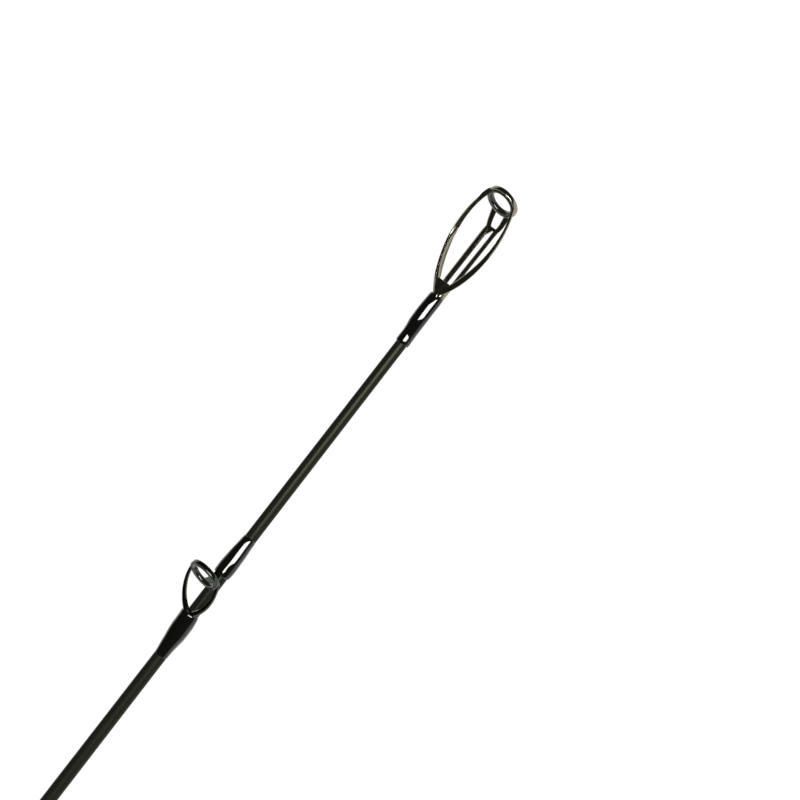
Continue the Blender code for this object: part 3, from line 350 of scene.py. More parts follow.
def block(name: str, low: Sequence[float], high: Sequence[float], bevel: float = 0.0,
          segments: int = 3) -> Piece:
    """Add a box between two corners, with rounded edges where asked.

    Args:
        name: Name of the piece.
        low: Lowest corner.
        high: Highest corner.
        bevel: Width of the rounding.
        segments: Steps in the rounding.

    Returns:
        The box.
    """
    deselect()
    centre = [(a + b) / 2 for a, b in zip(low, high)]
    bpy.ops.mesh.primitive_cube_add(size=1.0, location=centre)
    bpy.context.object.scale = [b - a for a, b in zip(low, high)]
    piece = named(name)
    if bevel:
        add_modifier(piece, "BEVEL", width=bevel, segments=segments, limit_method="NONE")
    return piece


def blend(a: float, b: float, share: float) -> float:
    """Value part of the way from a to b."""
    return a * (1 - share) + b * share


def at_share(rows: Sequence[Row], share: float) -> Row:
    """Read a table whose rows start with a share of the length.

    Args:
        rows: Rows in the order of their shares.
        share: Share to read at.

    Returns:
        The other numbers of a row, blended between the two rows next to it.
    """
    for a, b in zip(rows, rows[1:]):
        if share <= b[0]:
            part = (share - a[0]) / (b[0] - a[0])
            return tuple(blend(p, q, part) for p, q in zip(a[1:], b[1:]))
    return rows[-1][1:]


def scaled(rows: Sequence[Row], scale: float) -> list[Row]:
    """Scale the widths and thicknesses of a bar's rows.

    Args:
        rows: Share, width, thickness and, where the bar twists, the twist in degrees.
        scale: Factor for width and thickness.

    Returns:
        Rows that all give a twist.
    """
    return [(share, width * scale, thickness * scale, *(twist or (0.0,)))
            for share, width, thickness, *twist in rows]


def traced(name: str, path: Sequence[Vector]) -> Piece:
    """Draw a curve of straight steps along a path.

    Args:
        name: Name of the curve.
        path: Points that it follows.

    Returns:
        The object of the curve.
    """
    curve = bpy.data.curves.new(name, "CURVE")
    curve.dimensions = "3D"
    spline = curve.splines.new("POLY")
    spline.points.add(len(path) - 1)
    for point, place in zip(spline.points, path):
        point.co = (*place, 1.0)
    return linked(name, curve)


@dataclass(frozen=True)
class Bar:
    """Flat metal strip that follows a path, tapers and may twist.

    Attributes:
        path: Points of its middle line.
        stations: Share of the length, width, thickness and twist about the path in degrees.
        steps: Steps along the length.
        edge: Rounding of the edges as a share of the thickness.
        segments: Steps in the rounding, 1 for a flat chamfer.
    """

    path: Sequence[Vector]
    stations: Sequence[Row]
    steps: int = 40
    edge: float = 0.05
    segments: int = 2

    def build(self, name: str) -> Piece:
        """Make a straight bar, round its edges, taper it and bend it along the path.

        Args:
            name: Name of the bar.

        Returns:
            The bent bar.
        """
        length = sum((b - a).length for a, b in zip(self.path, self.path[1:]))
        width, thickness, _ = at_share(self.stations, 0.0)
        rim = self.edge * thickness
        piece = block(name, (0.0, -width / 2, -thickness / 2),
                      (length, width / 2, thickness / 2), rim, self.segments)
        bpy.ops.object.mode_set(mode="EDIT")
        long_edges(piece, length / 2)
        bpy.ops.mesh.subdivide(number_cuts=self.steps)
        inner = length - 2 * rim
        rows = [rim + inner * i / (self.steps + 1) for i in range(self.steps + 2)]
        near = 2e-6
        spans = [(-rim, rim - near)] + [(x - near, x + near) for x in rows]
        for low, high in spans + [(length - rim + near, length + rim)]:
            share = min(1.0, max(0.0, (low + high) / 2 / length))
            w, t, _ = at_share(self.stations, share)
            if select_where(piece, lambda co: low < co.x < high):
                bpy.ops.transform.resize(value=(1.0, w / width, t / thickness),
                                         center_override=(low, 0.0, 0.0))
        bpy.ops.object.mode_set(mode="OBJECT")
        return self.bend(piece)

    def bend(self, piece: Piece) -> Piece:
        """Lay the straight bar along the path with a curve modifier.

        Args:
            piece: Straight bar along X.

        Returns:
            The same piece, bent.
        """
        guide = traced("path", self.path)
        guide.data.twist_mode = "Z_UP"
        last = len(self.path) - 1
        for i, point in enumerate(guide.data.splines[0].points):
            point.tilt = math.radians(at_share(self.stations, i / last)[2])
        bpy.context.view_layer.update()
        add_modifier(piece, "CURVE", object=guide, deform_axis="POS_X")
        bpy.data.objects.remove(guide)
        return clean(piece, STRIP_EDGES)


def long_edges(piece: Piece, least: float) -> None:
    """Select the edges of a straight bar that run its whole length.

    Args:
        piece: Bar in edit mode.
        least: Length along X that an edge has to pass.
    """
    mesh = bmesh.from_edit_mesh(piece.data)
    bpy.context.tool_settings.mesh_select_mode = (False, True, False)
    mesh.select_mode = {"EDGE"}
    for edge in mesh.edges:
        edge.select = abs(edge.verts[0].co.x - edge.verts[1].co.x) > least
    mesh.select_flush_mode()
    bmesh.update_edit_mesh(piece.data)


def wire(name: str, path: Sequence[Vector], radius: float) -> Piece:
    """Draw a round wire along a path and make it a mesh.

    Args:
        name: Name of the wire.
        path: Points of its middle line.
        radius: Its radius.

    Returns:
        The wire.
    """
    piece = traced(name, path)
    piece.data.bevel_depth = radius
    piece.data.bevel_resolution = 5
    piece.data.use_fill_caps = True
    pick(piece)
    bpy.ops.object.convert(target="MESH")
    return clean(bpy.context.object, ROUND_EDGES)


# Finishes


def linear(colour: str) -> tuple[float, float, float, float]:
    """Turn an sRGB hex colour to linear light.

    Args:
        colour: Colour as #rrggbb.

    Returns:
        Red, green, blue and full opacity.
    """
    values = [int(colour[i:i + 2], 16) / 255 for i in (1, 3, 5)]
    red, green, blue = [v / 12.92 if v <= 0.04045 else ((v + 0.055) / 1.055) ** 2.4
                        for v in values]
    return red, green, blue, 1.0


def add_node(material: Material, kind: str, inputs: dict[str | int, object] | None = None,
             **settings: object) -> bpy.types.Node:
    """Add a node with its settings and links.

    Args:
        material: Material whose tree gets the node.
        kind: Node type.
        inputs: Values or output sockets, by the input's name or number.
        settings: Values set on the node itself.

    Returns:
        The new node.
    """
    node = material.node_tree.nodes.new(kind)
    for key, value in settings.items():
        setattr(node, key, value)
    for key, value in (inputs or {}).items():
        if isinstance(value, Socket):
            material.node_tree.links.new(value, node.inputs[key])
        else:
            node.inputs[key].default_value = value
    return node


@dataclass(frozen=True)
class Finish:
    """Surface of one real material.

    Attributes:
        name: What the material is.
        slot: Material slot of the record that takes it; not used.
        colour: Its colour, sRGB hex.
        shade: The darker or lighter colour that its pattern mixes in.
        roughness: Middle value of its roughness.
        metallic: 1 for bare or plated metal.
        ior: Index of refraction, the shader's own for a metal.
        coat: Weight of a clear layer over it.
        specular: Share of its reflection, 0.5 for all of it.
        grain: Size of its pattern in millimetres, along X and across.
        relief: Depth of its pattern in millimetres.
        tint: Tint of its reflection, sRGB hex.
        spread: How far the roughness varies to either side.
    """

    name: str
    slot: str
    colour: str
    shade: str
    roughness: float
    metallic: float = 0.0
    ior: float = 1.5
    coat: float = 0.0
    specular: float = 0.5
    grain: tuple[float, float] = (1.0, 1.0)
    relief: float = 0.0
    tint: str = "#ffffff"
    spread: float = 0.06

    def material(self) -> Material:
        """Find the finish's material, or make it once.

        Returns:
            The material.
        """
        known = bpy.data.materials.get(self.name)
        if known:
            return known
        made = bpy.data.materials.new(self.name)
        made.use_nodes = True
        made.diffuse_color = linear(self.colour)
        shader = made.node_tree.nodes["Principled BSDF"]
        for socket, value in (("Metallic", self.metallic), ("IOR", self.ior),
                              ("Specular IOR Level", self.specular),
                              ("Specular Tint", linear(self.tint)), ("Coat Weight", self.coat),
                              ("Coat Roughness", 0.03), ("Coat IOR", 1.52)):
            shader.inputs[socket].default_value = value
        grain, gloss = self.patterns(made)
        colour = add_node(made, "ShaderNodeMix",
                          {0: grain, 6: linear(self.colour), 7: linear(self.shade)},
                          data_type="RGBA")
        rough = add_node(made, "ShaderNodeMapRange",
                         {"Value": gloss, "From Min": 0.3, "From Max": 0.7,
                          "To Min": self.roughness - self.spread,
                          "To Max": self.roughness + self.spread})
        bump = add_node(made, "ShaderNodeBump",
                        {"Height": grain, "Strength": 1.0, "Distance": self.relief * MM})
        for output, socket in ((colour.outputs[2], "Base Color"),
                               (rough.outputs["Result"], "Roughness"),
                               (bump.outputs["Normal"], "Normal")):
            made.node_tree.links.new(output, shader.inputs[socket])
        return made

    def place(self, made: Material) -> Socket:
        """Count the object coordinates in grains of the pattern.

        Args:
            made: Material whose tree is filled.

        Returns:
            The scaled coordinates.
        """
        along, across = (1 / (size * MM) for size in self.grain)
        coordinates = add_node(made, "ShaderNodeTexCoord")
        mapping = add_node(made, "ShaderNodeMapping",
                           {"Vector": coordinates.outputs["Object"],
                            "Scale": (along, across, across)})
        return mapping.outputs["Vector"]

    def patterns(self, made: Material) -> tuple[Socket, Socket]:
        """Draw the material's own grain.

        Args:
            made: Material whose tree is filled.

        Returns:
            The pattern of colour and relief, and that of the roughness.
        """
        noise = add_node(made, "ShaderNodeTexNoise", {"Vector": self.place(made), "Scale": 1.0,
                                                      "Detail": 4.0, "Roughness": 0.6})
        return noise.outputs["Fac"], noise.outputs["Fac"]


@dataclass(frozen=True)
class ThreadUnderEpoxy(Finish):
    """Nylon thread wound turn by turn and sealed under clear epoxy.

    Attributes:
        pitch: Distance from turn to turn in millimetres.
    """

    spread: float = 0.05
    pitch: float = 0.28

    def patterns(self, made: Material) -> tuple[Socket, Socket]:
        """Draw fine turns of thread across the rod, dim under the gloss.

        Args:
            made: Material whose tree is filled.

        Returns:
            The turns, for colour and relief and for the roughness.
        """
        coordinates = add_node(made, "ShaderNodeTexCoord")
        # A wave of scale 1 repeats every tau / 20 units along its axis.
        turns = add_node(made, "ShaderNodeTexWave",
                         {"Vector": coordinates.outputs["Object"],
                          "Scale": math.tau / 20 / (self.pitch * MM), "Distortion": 0.0},
                         wave_type="BANDS", bands_direction="X", wave_profile="SIN")
        return turns.outputs["Fac"], turns.outputs["Fac"]


@dataclass(frozen=True)
class CellFoam(Finish):
    """Closed-cell foam, ground to shape, with open pores on its skin."""

    spread: float = 0.05

    def patterns(self, made: Material) -> tuple[Socket, Socket]:
        """Draw small round pores between smoother lands.

        Args:
            made: Material whose tree is filled.

        Returns:
            The pores for colour and relief, and soft clouds for the roughness.
        """
        cells = add_node(made, "ShaderNodeTexVoronoi", {"Vector": self.place(made), "Scale": 1.0},
                         feature="F1")
        noise = add_node(made, "ShaderNodeTexNoise", {"Vector": self.place(made), "Scale": 0.4,
                                                      "Detail": 3.0})
        pores = add_node(made, "ShaderNodeMapRange",
                         {"Value": cells.outputs["Distance"], "From Min": 0.1, "From Max": 0.6})
        both = add_node(made, "ShaderNodeMath", {0: pores.outputs["Result"],
                                                 1: noise.outputs["Fac"]}, operation="MULTIPLY")
        return both.outputs["Value"], noise.outputs["Fac"]


# Carbon laminate under satin clear coat: near black, with faint streaks of fibre lengthwise.
BLANK = Finish("carbon_laminate", "carbon_blank", "#151611", "#1c1d16", 0.26, specular=0.07,
               grain=(14.0, 0.12), relief=0.0012, tint="#f2fad8")
# Thread and epoxy: black turns under a wet-looking gloss.
WRAP = ThreadUnderEpoxy("thread_under_epoxy", "epoxy_wrap", "#060605", "#0c0b0a", 0.5,
                        coat=1.0, specular=0.0, relief=0.004)
# Black-plated stainless strip, polished: dark mirror with a warm cast.
FRAME = Finish("black_plated_steel", "black_frame", "#969180", "#8c8776", 0.14, metallic=1.0,
               grain=(0.9, 0.25), relief=0.0004)
# The same strip on the running guides, painted darker and a little greener as shade: a shaded copy
# of the tip's strip.
SHADED_GUIDE_FRAME = Finish("shaded_plated_steel", "black_frame", "#4c5145", "#43473d", 0.18,
                     metallic=1.0, grain=(0.9, 0.25), relief=0.0004)
# Silicon carbide, lapped: very dark grey with a hard bright gloss.
CERAMIC = Finish("silicon_carbide", "dark_ceramic", "#131411", "#191a17", 0.10,
                 grain=(0.3, 0.3), relief=0.0004)
# EVA foam, ground to shape: dull black with open pores.
FOAM = CellFoam("eva_foam", "foam_grip", "#0d0d0d", "#1d1d1c", 0.86, grain=(0.55, 0.55),
                relief=0.06)
# Glass-filled nylon from a spark-eroded mould: fine even grain.
NYLON = Finish("moulded_nylon", "moulded_seat", "#141415", "#1a1a1b", 0.42,
               grain=(0.22, 0.22), relief=0.012)
# Aluminium, turned, bead-blasted and anodised black: satin, with a fine tooth.
ANODISED = Finish("anodised_aluminium", "black_anodised", "#2b2b2e", "#333337", 0.34,
                  metallic=1.0, grain=(0.12, 0.35), relief=0.002)
# Stainless sheet, rolled and pressed: bright, with fine lines lengthwise.
STEEL = Finish("stainless_steel", "steel_liner", "#b9b8b4", "#a9a8a4", 0.28, metallic=1.0,
               grain=(6.0, 0.08), relief=0.001)
# Rubber from a blasted mould: matt and softly uneven.
RUBBER = Finish("moulded_rubber", "butt_rubber", "#121212", "#191918", 0.72, grain=(0.4, 0.4),
                relief=0.02)
# Rigid foam, turned: sand-coloured and porous. It goes on the arbors.
ARBOR = CellFoam("polyurethane_foam", "", "#8c8371", "#a39a86", 0.9, grain=(0.7, 0.7),
                 relief=0.08)


def dress(piece: Piece, finish: Finish, node: str, body: Body = Body.ROD) -> Piece:
    """Give a finished piece its material and body, and hide the CAD node that it stands for.

    Args:
        piece: Finished piece.
        finish: Its surface.
        node: CAD node that it replaces.
        body: Rigid body that it rides on.

    Returns:
        The same piece.
    """
    piece.data.materials.clear()
    piece.data.materials.append(finish.material())
    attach(piece, body.value)
    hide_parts(node)
    LOG.info("%s: %d faces", piece.name, len(piece.data.polygons))
    return piece


# Blank


@dataclass(frozen=True)
class Blank:
    """One tapered carbon tube from the butt cap to the tip-top.

    Attributes:
        tip_x: Place of the rear end of the tip wrap.
        tip_radius: Radius there.
        taper: Growth of the diameter per metre towards the butt.
        tip_reach: Length of the ground end beyond the wrap's rear end.
        end_radius: Radius of that end.
    """

    tip_x: float = 1.7854
    tip_radius: float = 0.001475
    taper: float = 0.0039
    tip_reach: float = 0.0138
    end_radius: float = 0.0011

    def radius(self, x: float) -> float:
        """Outer radius at a place along the rod."""
        return self.tip_radius + self.taper / 2 * (self.tip_x - x)

    def build(self) -> Piece:
        """Turn the blank in one piece.

        Returns:
            The dressed blank.
        """
        low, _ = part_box("blank")
        places = [blend(low.x, self.tip_x + 0.0006, i / 24) for i in range(25)]
        stations = [(x, self.radius(x)) for x in places]
        stations.append((self.tip_x + self.tip_reach, self.end_radius))
        return dress(turned("blank_skin", stations), BLANK, "blank")


BLANK_SHAPE = Blank()


# Thread wraps


@dataclass(frozen=True)
class Wrap:
    """Thread and epoxy over a foot: thick in its middle, thin at its ends.

    Attributes:
        name: Start of the names of the piece and of its node.
        root: Place of the end at the ring's side.
        end: Place of the far end.
        profile: Share of the length, wall over the blank and hump over the foot, in millimetres.
        gauge: Scale of wall and hump for a bigger guide.
        base: Least radius under the wrap, for one that covers a tube.
    """

    name: str
    root: float
    end: float
    profile: Sequence[Row]
    gauge: float = 1.0
    base: float = 0.0

    def build(self) -> Piece:
        """Turn the wrap, raise its top over the foot and make the epoxy uneven.

        Returns:
            The dressed wrap.
        """
        rings = []
        for share, wall, _ in self.profile:
            x = blend(self.root, self.end, share)
            # A tube lies under all but the ends of its wrap.
            tube = self.base if 0.03 < share < 0.99 else 0.0
            bare = max(tube, BLANK_SHAPE.radius(x))
            rings.append((x, bare + wall * self.gauge * MM))
        if self.root > self.end:
            rings.reverse()
        piece = turned(self.name + "_thread", rings)
        add_modifier(piece, "SUBSURF", levels=1, render_levels=1)
        self.raise_top(piece)
        self.pool(piece)
        return dress(clean(piece, ROUND_EDGES), WRAP, self.name + "_wrap")

    def hump(self, x: float) -> float:
        """Height of the foot under the wrap at a place along the rod."""
        share = (x - self.root) / (self.end - self.root)
        return at_share(self.profile, share)[1] * self.gauge * MM

    def raise_top(self, piece: Piece) -> None:
        """Push the upper half outwards, most of all at the top, where the foot lies.

        Args:
            piece: Round wrap.
        """
        for vertex in piece.data.vertices:
            x, y, z = vertex.co
            radius = math.hypot(y, z)
            if z > 0 and radius > 1e-6:
                # A power below 1 keeps the hump broad.
                grow = 1 + self.hump(x) / radius * (z / radius) ** 0.7
                vertex.co = (x, y * grow, z * grow)

    def pool(self, piece: Piece) -> None:
        """Let the epoxy stand in soft pools, as it levels on a turning rod.

        Args:
            piece: Wrap with its hump.
        """
        clouds = bpy.data.textures.new("pools", "CLOUDS")
        clouds.noise_scale = 2.4 * MM * self.gauge
        clouds.noise_depth = 1
        add_modifier(piece, "DISPLACE", texture=clouds, texture_coords="LOCAL",
                     strength=0.12 * MM * self.gauge, mid_level=0.5)


REAR_PROFILE = ((0.0, -0.02, 1.1), (0.015, 0.10, 1.4), (0.05, 0.26, 1.45), (0.13, 0.52, 1.05),
                (0.26, 0.68, 0.68), (0.38, 0.70, 0.55), (0.51, 0.66, 0.42), (0.60, 0.50, 0.36),
                (0.70, 0.32, 0.32), (0.79, 0.19, 0.25), (0.89, 0.09, 0.1), (0.96, 0.05, 0.0),
                (1.0, -0.02, 0.0))
FRONT_PROFILE = ((0.0, -0.02, 0.7), (0.012, 0.16, 0.82), (0.04, 0.33, 0.86), (0.12, 0.48, 0.72),
                 (0.26, 0.52, 0.66), (0.45, 0.42, 0.58), (0.65, 0.30, 0.46), (0.82, 0.19, 0.32),
                 (0.93, 0.11, 0.22), (0.985, 0.06, 0.14), (1.0, -0.02, 0.06))
TIP_PROFILE = ((0.0, -0.02, 0.0), (0.012, 0.22, 0.0), (0.035, 0.13, 0.0), (0.09, 0.12, 0.0),
               (0.14, 0.07, 0.0), (0.21, 0.05, 0.04), (0.30, 0.05, 0.34), (0.37, 0.05, 0.62),
               (0.43, 0.05, 0.8), (0.60, 0.05, 0.86), (0.80, 0.05, 0.76), (0.92, 0.05, 0.64),
               (0.975, 0.02, 0.56), (1.0, -0.06, 0.5))
KEEPER_PROFILE = ((0.0, -0.02, 0.66), (0.03, 0.14, 0.74), (0.08, 0.30, 0.76), (0.2, 0.36, 0.72),
                  (0.5, 0.36, 0.62), (0.72, 0.34, 0.5), (0.84, 0.24, 0.3), (0.93, 0.12, 0.08),
                  (1.0, -0.02, 0.0))
PLAIN_PROFILE = ((0.0, -0.02, 0.0), (0.02, 0.12, 0.0), (0.05, 0.26, 0.0), (0.10, 0.34, 0.0),
                 (0.35, 0.36, 0.0), (0.65, 0.36, 0.0), (0.90, 0.34, 0.0), (0.95, 0.26, 0.0),
                 (0.98, 0.12, 0.0), (1.0, -0.02, 0.0))


# Fittings with a leaning ring


LEAN = math.radians(28.0)
TIP_RING_X = 1.830 - 0.0046 * math.sin(LEAN) - 0.0006 * math.cos(LEAN)
# Outside diameter of the ring that the strips' sizes are given for.
SMALL_RING = 0.008
COLLAR_WALL = 0.0005
# How deep a collar reaches into its ring, so that no gap shows.
OVERLAP = 0.00004


@dataclass(frozen=True)
class Fitting(ABC):
    """What guides and tip-top share: a ceramic ring in a leaning collar.

    Attributes:
        name: Name of the fitting.
        from_tip: Distance from the tip ring.
        diameter: Outside diameter of the ceramic ring.
        bore: Its opening.
        width: Its width.
    """

    name: str
    from_tip: float
    diameter: float
    bore: float
    width: float

    @property
    @abstractmethod
    def centre(self) -> Vector:
        """Middle of the ring."""

    @property
    def x(self) -> float:
        """Place of the ring's centre along the rod."""
        return TIP_RING_X - self.from_tip

    @property
    def gauge(self) -> float:
        """Scale of strip and wraps for the size of the ring."""
        return math.sqrt(self.diameter / SMALL_RING)

    @property
    def collar(self) -> float:
        """Outer radius of the collar round the ring."""
        return self.diameter / 2 + COLLAR_WALL * self.gauge

    def ring(self, name: str, radii: tuple[float, float], width: float, power: float,
             count: int) -> Piece:
        """Turn a ring with a rounded section and put it on the leaning axis.

        Args:
            name: Name of the ring.
            radii: Its inner and outer radius.
            width: Its width along its axis.
            power: Squareness of its section, 2 for an ellipse.
            count: Points round the section.

        Returns:
            The leaning ring.
        """
        middle, half = (radii[0] + radii[1]) / 2, (radii[1] - radii[0]) / 2
        section = [(width / 2 * c, middle + half * s) for c, s in squared(count, power)]
        piece = turned(name, section, FINE_SIDES, ring=True)
        piece.data.transform(Matrix.Translation(self.centre) @ Matrix.Rotation(LEAN, 4, "Y"))
        piece.data.update()
        return piece

    def collar_ring(self, name: str, width: float) -> Piece:
        """Metal ring that grips the ceramic one."""
        return self.ring(name, (self.diameter / 2 - OVERLAP, self.collar), width, 3.5, 20)

    def insert(self) -> Piece:
        """Turn the ceramic ring with its round bore, lapped all over.

        Returns:
            The dressed ring.
        """
        piece = self.ring(self.name + "_ceramic", (self.bore / 2, self.diameter / 2), self.width,
                          2.5, 28)
        return dress(clean(piece, ROUND_EDGES), CERAMIC, self.name + "_ring")


# Running guides


@dataclass(frozen=True)
class Guide(Fitting):
    """Pressed frame with two legs and a neck, its ceramic ring and its two wraps.

    Attributes:
        height: Height of the ring's centre over the blank's surface.
        rear_wrap: Length of the wrap behind the ring.
        front_wrap: Length of the wrap before it.
        strip_width: Width of a leg on a small ring.
        strip_thickness: Its thickness.
        collar_width: Width of the collar there.
        reach_share: Distance back to the rear foot, as a share of the ring's height.
        front_share: Distance on to the front foot, as a share of it.
        glue: Space between the blank and a foot.
        half_foot: Half the thickness of a foot on a small ring.
        edge: Chamfer of the legs as a share of their thickness.
    """

    height: float
    rear_wrap: float
    front_wrap: float
    strip_width: float = 0.00112
    strip_thickness: float = 0.00070
    collar_width: float = 0.0012
    reach_share: float = 1.17
    front_share: float = 0.13
    glue: float = 0.00015
    half_foot: float = 0.000275
    edge: float = 0.46

    @property
    def centre(self) -> Vector:
        """Middle of the ring."""
        return Vector((self.x, 0.0, BLANK_SHAPE.radius(self.x) + self.height))

    @property
    def reach(self) -> float:
        """Distance from the ring back to the rear foot."""
        return self.reach_share * self.centre.z

    @property
    def front(self) -> float:
        """Distance from the ring to the front foot."""
        return self.front_share * self.centre.z

    @property
    def foot_z(self) -> float:
        """Height of the middle of a foot."""
        return BLANK_SHAPE.radius(self.x) + self.glue + self.half_foot * self.gauge

    def leg(self, side: Side) -> Piece:
        """Bend a leg that is wide at the rear foot and slim at the collar.

        Args:
            side: Side that it stands on.

        Returns:
            The leg.
        """
        low, out = self.foot_z, side.value
        rise = self.centre.z - low
        width = self.strip_width * self.gauge
        thickness = self.strip_thickness * self.gauge
        start = Vector((self.x - self.reach - 0.0002, out * 0.0003 * self.gauge, low))
        handle_a = Vector((self.x - 0.80 * self.reach, out * 0.80 * self.collar,
                           low + 0.22 * rise))
        handle_b = Vector((self.x - 0.36 * self.reach, out * 1.17 * self.collar,
                           low + 0.62 * rise))
        end = Vector((self.x + 0.0003, out * (self.collar - thickness / 2), self.centre.z))
        stations = [(share, width * wide, thickness, 0.0)
                    for share, wide in ((0.0, 1.45), (0.3, 1.2), (0.8, 0.86), (1.0, 0.86))]
        return Bar(interpolate_bezier(start, handle_a, handle_b, end, 40), stations,
                   edge=self.edge, segments=1).build("leg")

    def neck(self) -> Piece:
        """Bend the strip from the bottom of the collar to the front foot.

        Returns:
            The neck.
        """
        bottom = self.centre.z - self.collar * math.cos(LEAN)
        start = Vector((self.x - self.collar * math.sin(LEAN) + 0.0003, 0.0, bottom + 0.0005))
        end = Vector((self.x + self.front + 0.005, 0.0, self.foot_z))
        fall = start.z - end.z
        handle_a = start + Vector((0.12 * fall + 0.0006, 0.0, -0.62 * fall))
        handle_b = Vector((self.x + self.front - 0.0012 * self.gauge, 0.0,
                           self.foot_z - 0.02 * fall))
        rows = ((0.0, 0.0034, 0.0007), (0.2, 0.0024, 0.0007), (0.5, 0.0020, 0.0007),
                (1.0, 0.0016, 0.0004))
        return Bar(interpolate_bezier(start, handle_a, handle_b, end, 40),
                   scaled(rows, self.gauge)).build("neck")

    def foot(self) -> Piece:
        """Lay the rear foot, where both legs meet under the thread.

        Returns:
            The foot.
        """
        path = [Vector((self.x - self.reach + ahead, 0.0, self.foot_z))
                for ahead in (0.0008, -0.006)]
        rows = ((0.0, 0.0026, 0.0007), (0.3, 0.0020, 0.0006), (1.0, 0.0014, 0.0004))
        return Bar(path, scaled(rows, self.gauge), 6).build("foot")

    def frame(self) -> Piece:
        """Join collar, legs, neck and rear foot as one pressed frame.

        Returns:
            The frame.
        """
        collar = self.collar_ring(self.name + "_pressed_frame", self.collar_width * self.gauge)
        return joined([collar, *map(self.leg, Side), self.neck(), self.foot()])

    def build(self) -> None:
        """Build the four pieces of the guide."""
        name, gauge = self.name, self.gauge
        dress(clean(self.frame(), STRIP_EDGES), SHADED_GUIDE_FRAME, name + "_frame")
        self.insert()
        rear = self.x - self.reach
        front = self.x + self.front
        Wrap(name + "_rear", rear + 0.0004 * gauge, rear - self.rear_wrap, REAR_PROFILE,
             gauge).build()
        Wrap(name + "_front", front + 0.0002 * gauge, front + self.front_wrap + 0.0004,
             FRONT_PROFILE, gauge).build()


GUIDES = (
    Guide("guide_1", 0.115, 0.0080, 0.0058, 0.0013, 0.0073, 0.0130, 0.0115),
    Guide("guide_2", 0.236, 0.0080, 0.0058, 0.0013, 0.0073, 0.0130, 0.0115),
    Guide("guide_3", 0.361, 0.0080, 0.0058, 0.0013, 0.0075, 0.0130, 0.0115),
    Guide("guide_4", 0.492, 0.0100, 0.0076, 0.0018, 0.0088, 0.0145, 0.0125),
    Guide("guide_5", 0.630, 0.0120, 0.0093, 0.0020, 0.0108, 0.0155, 0.0135),
    Guide("guide_6", 0.776, 0.0160, 0.0127, 0.0023, 0.0142, 0.0175, 0.0150),
    Guide("guide_7", 0.932, 0.0200, 0.0163, 0.0026, 0.0178, 0.0195, 0.0165),
)


# Tip-top


# Halves of the outer loop, from the V to the ring: share of the length, width and thickness
# in millimetres, twist in degrees. The far one stands on edge, the near one lies flat.
LOOP_ROWS = {
    Side.FAR: ((0.0, 1.10, 0.60, 52.0), (0.1, 1.36, 0.60, 52.0), (0.17, 1.58, 0.58, 55.0),
               (0.25, 1.62, 0.56, 65.0), (0.4, 1.60, 0.56, 67.0), (0.5, 1.46, 0.56, 64.0),
               (0.56, 1.30, 0.58, 48.0), (0.62, 1.16, 0.60, 44.0), (0.7, 1.04, 0.62, 43.0),
               (0.78, 0.94, 0.62, 44.0), (0.86, 0.86, 0.62, 50.0), (1.0, 0.80, 0.60, 60.0)),
    Side.NEAR: ((0.0, 1.30, 0.62), (0.08, 1.45, 0.62), (0.2, 1.52, 0.62), (0.35, 1.42, 0.62),
                (0.45, 1.20, 0.62), (0.6, 1.02, 0.62), (0.79, 0.74, 0.62), (1.0, 0.64, 0.62)),
}
# Points that steer a half: share of its run, distance from the middle, share of its climb.
LOOP_PATH = ((0.0, 0.00036, 0.0), (0.226, 0.00485, 0.0), (0.688, 0.00800, 0.85))
LOOP_EDGE = {Side.FAR: 0.01, Side.NEAR: 0.30}
# Braces: width in millimetres at the root and before the bend, and how far they part.
BRACE_WIDTHS = {Side.FAR: (1.38, 1.56), Side.NEAR: (1.20, 1.12)}
BRACE_PART = {Side.FAR: 0.0002, Side.NEAR: -0.00002}


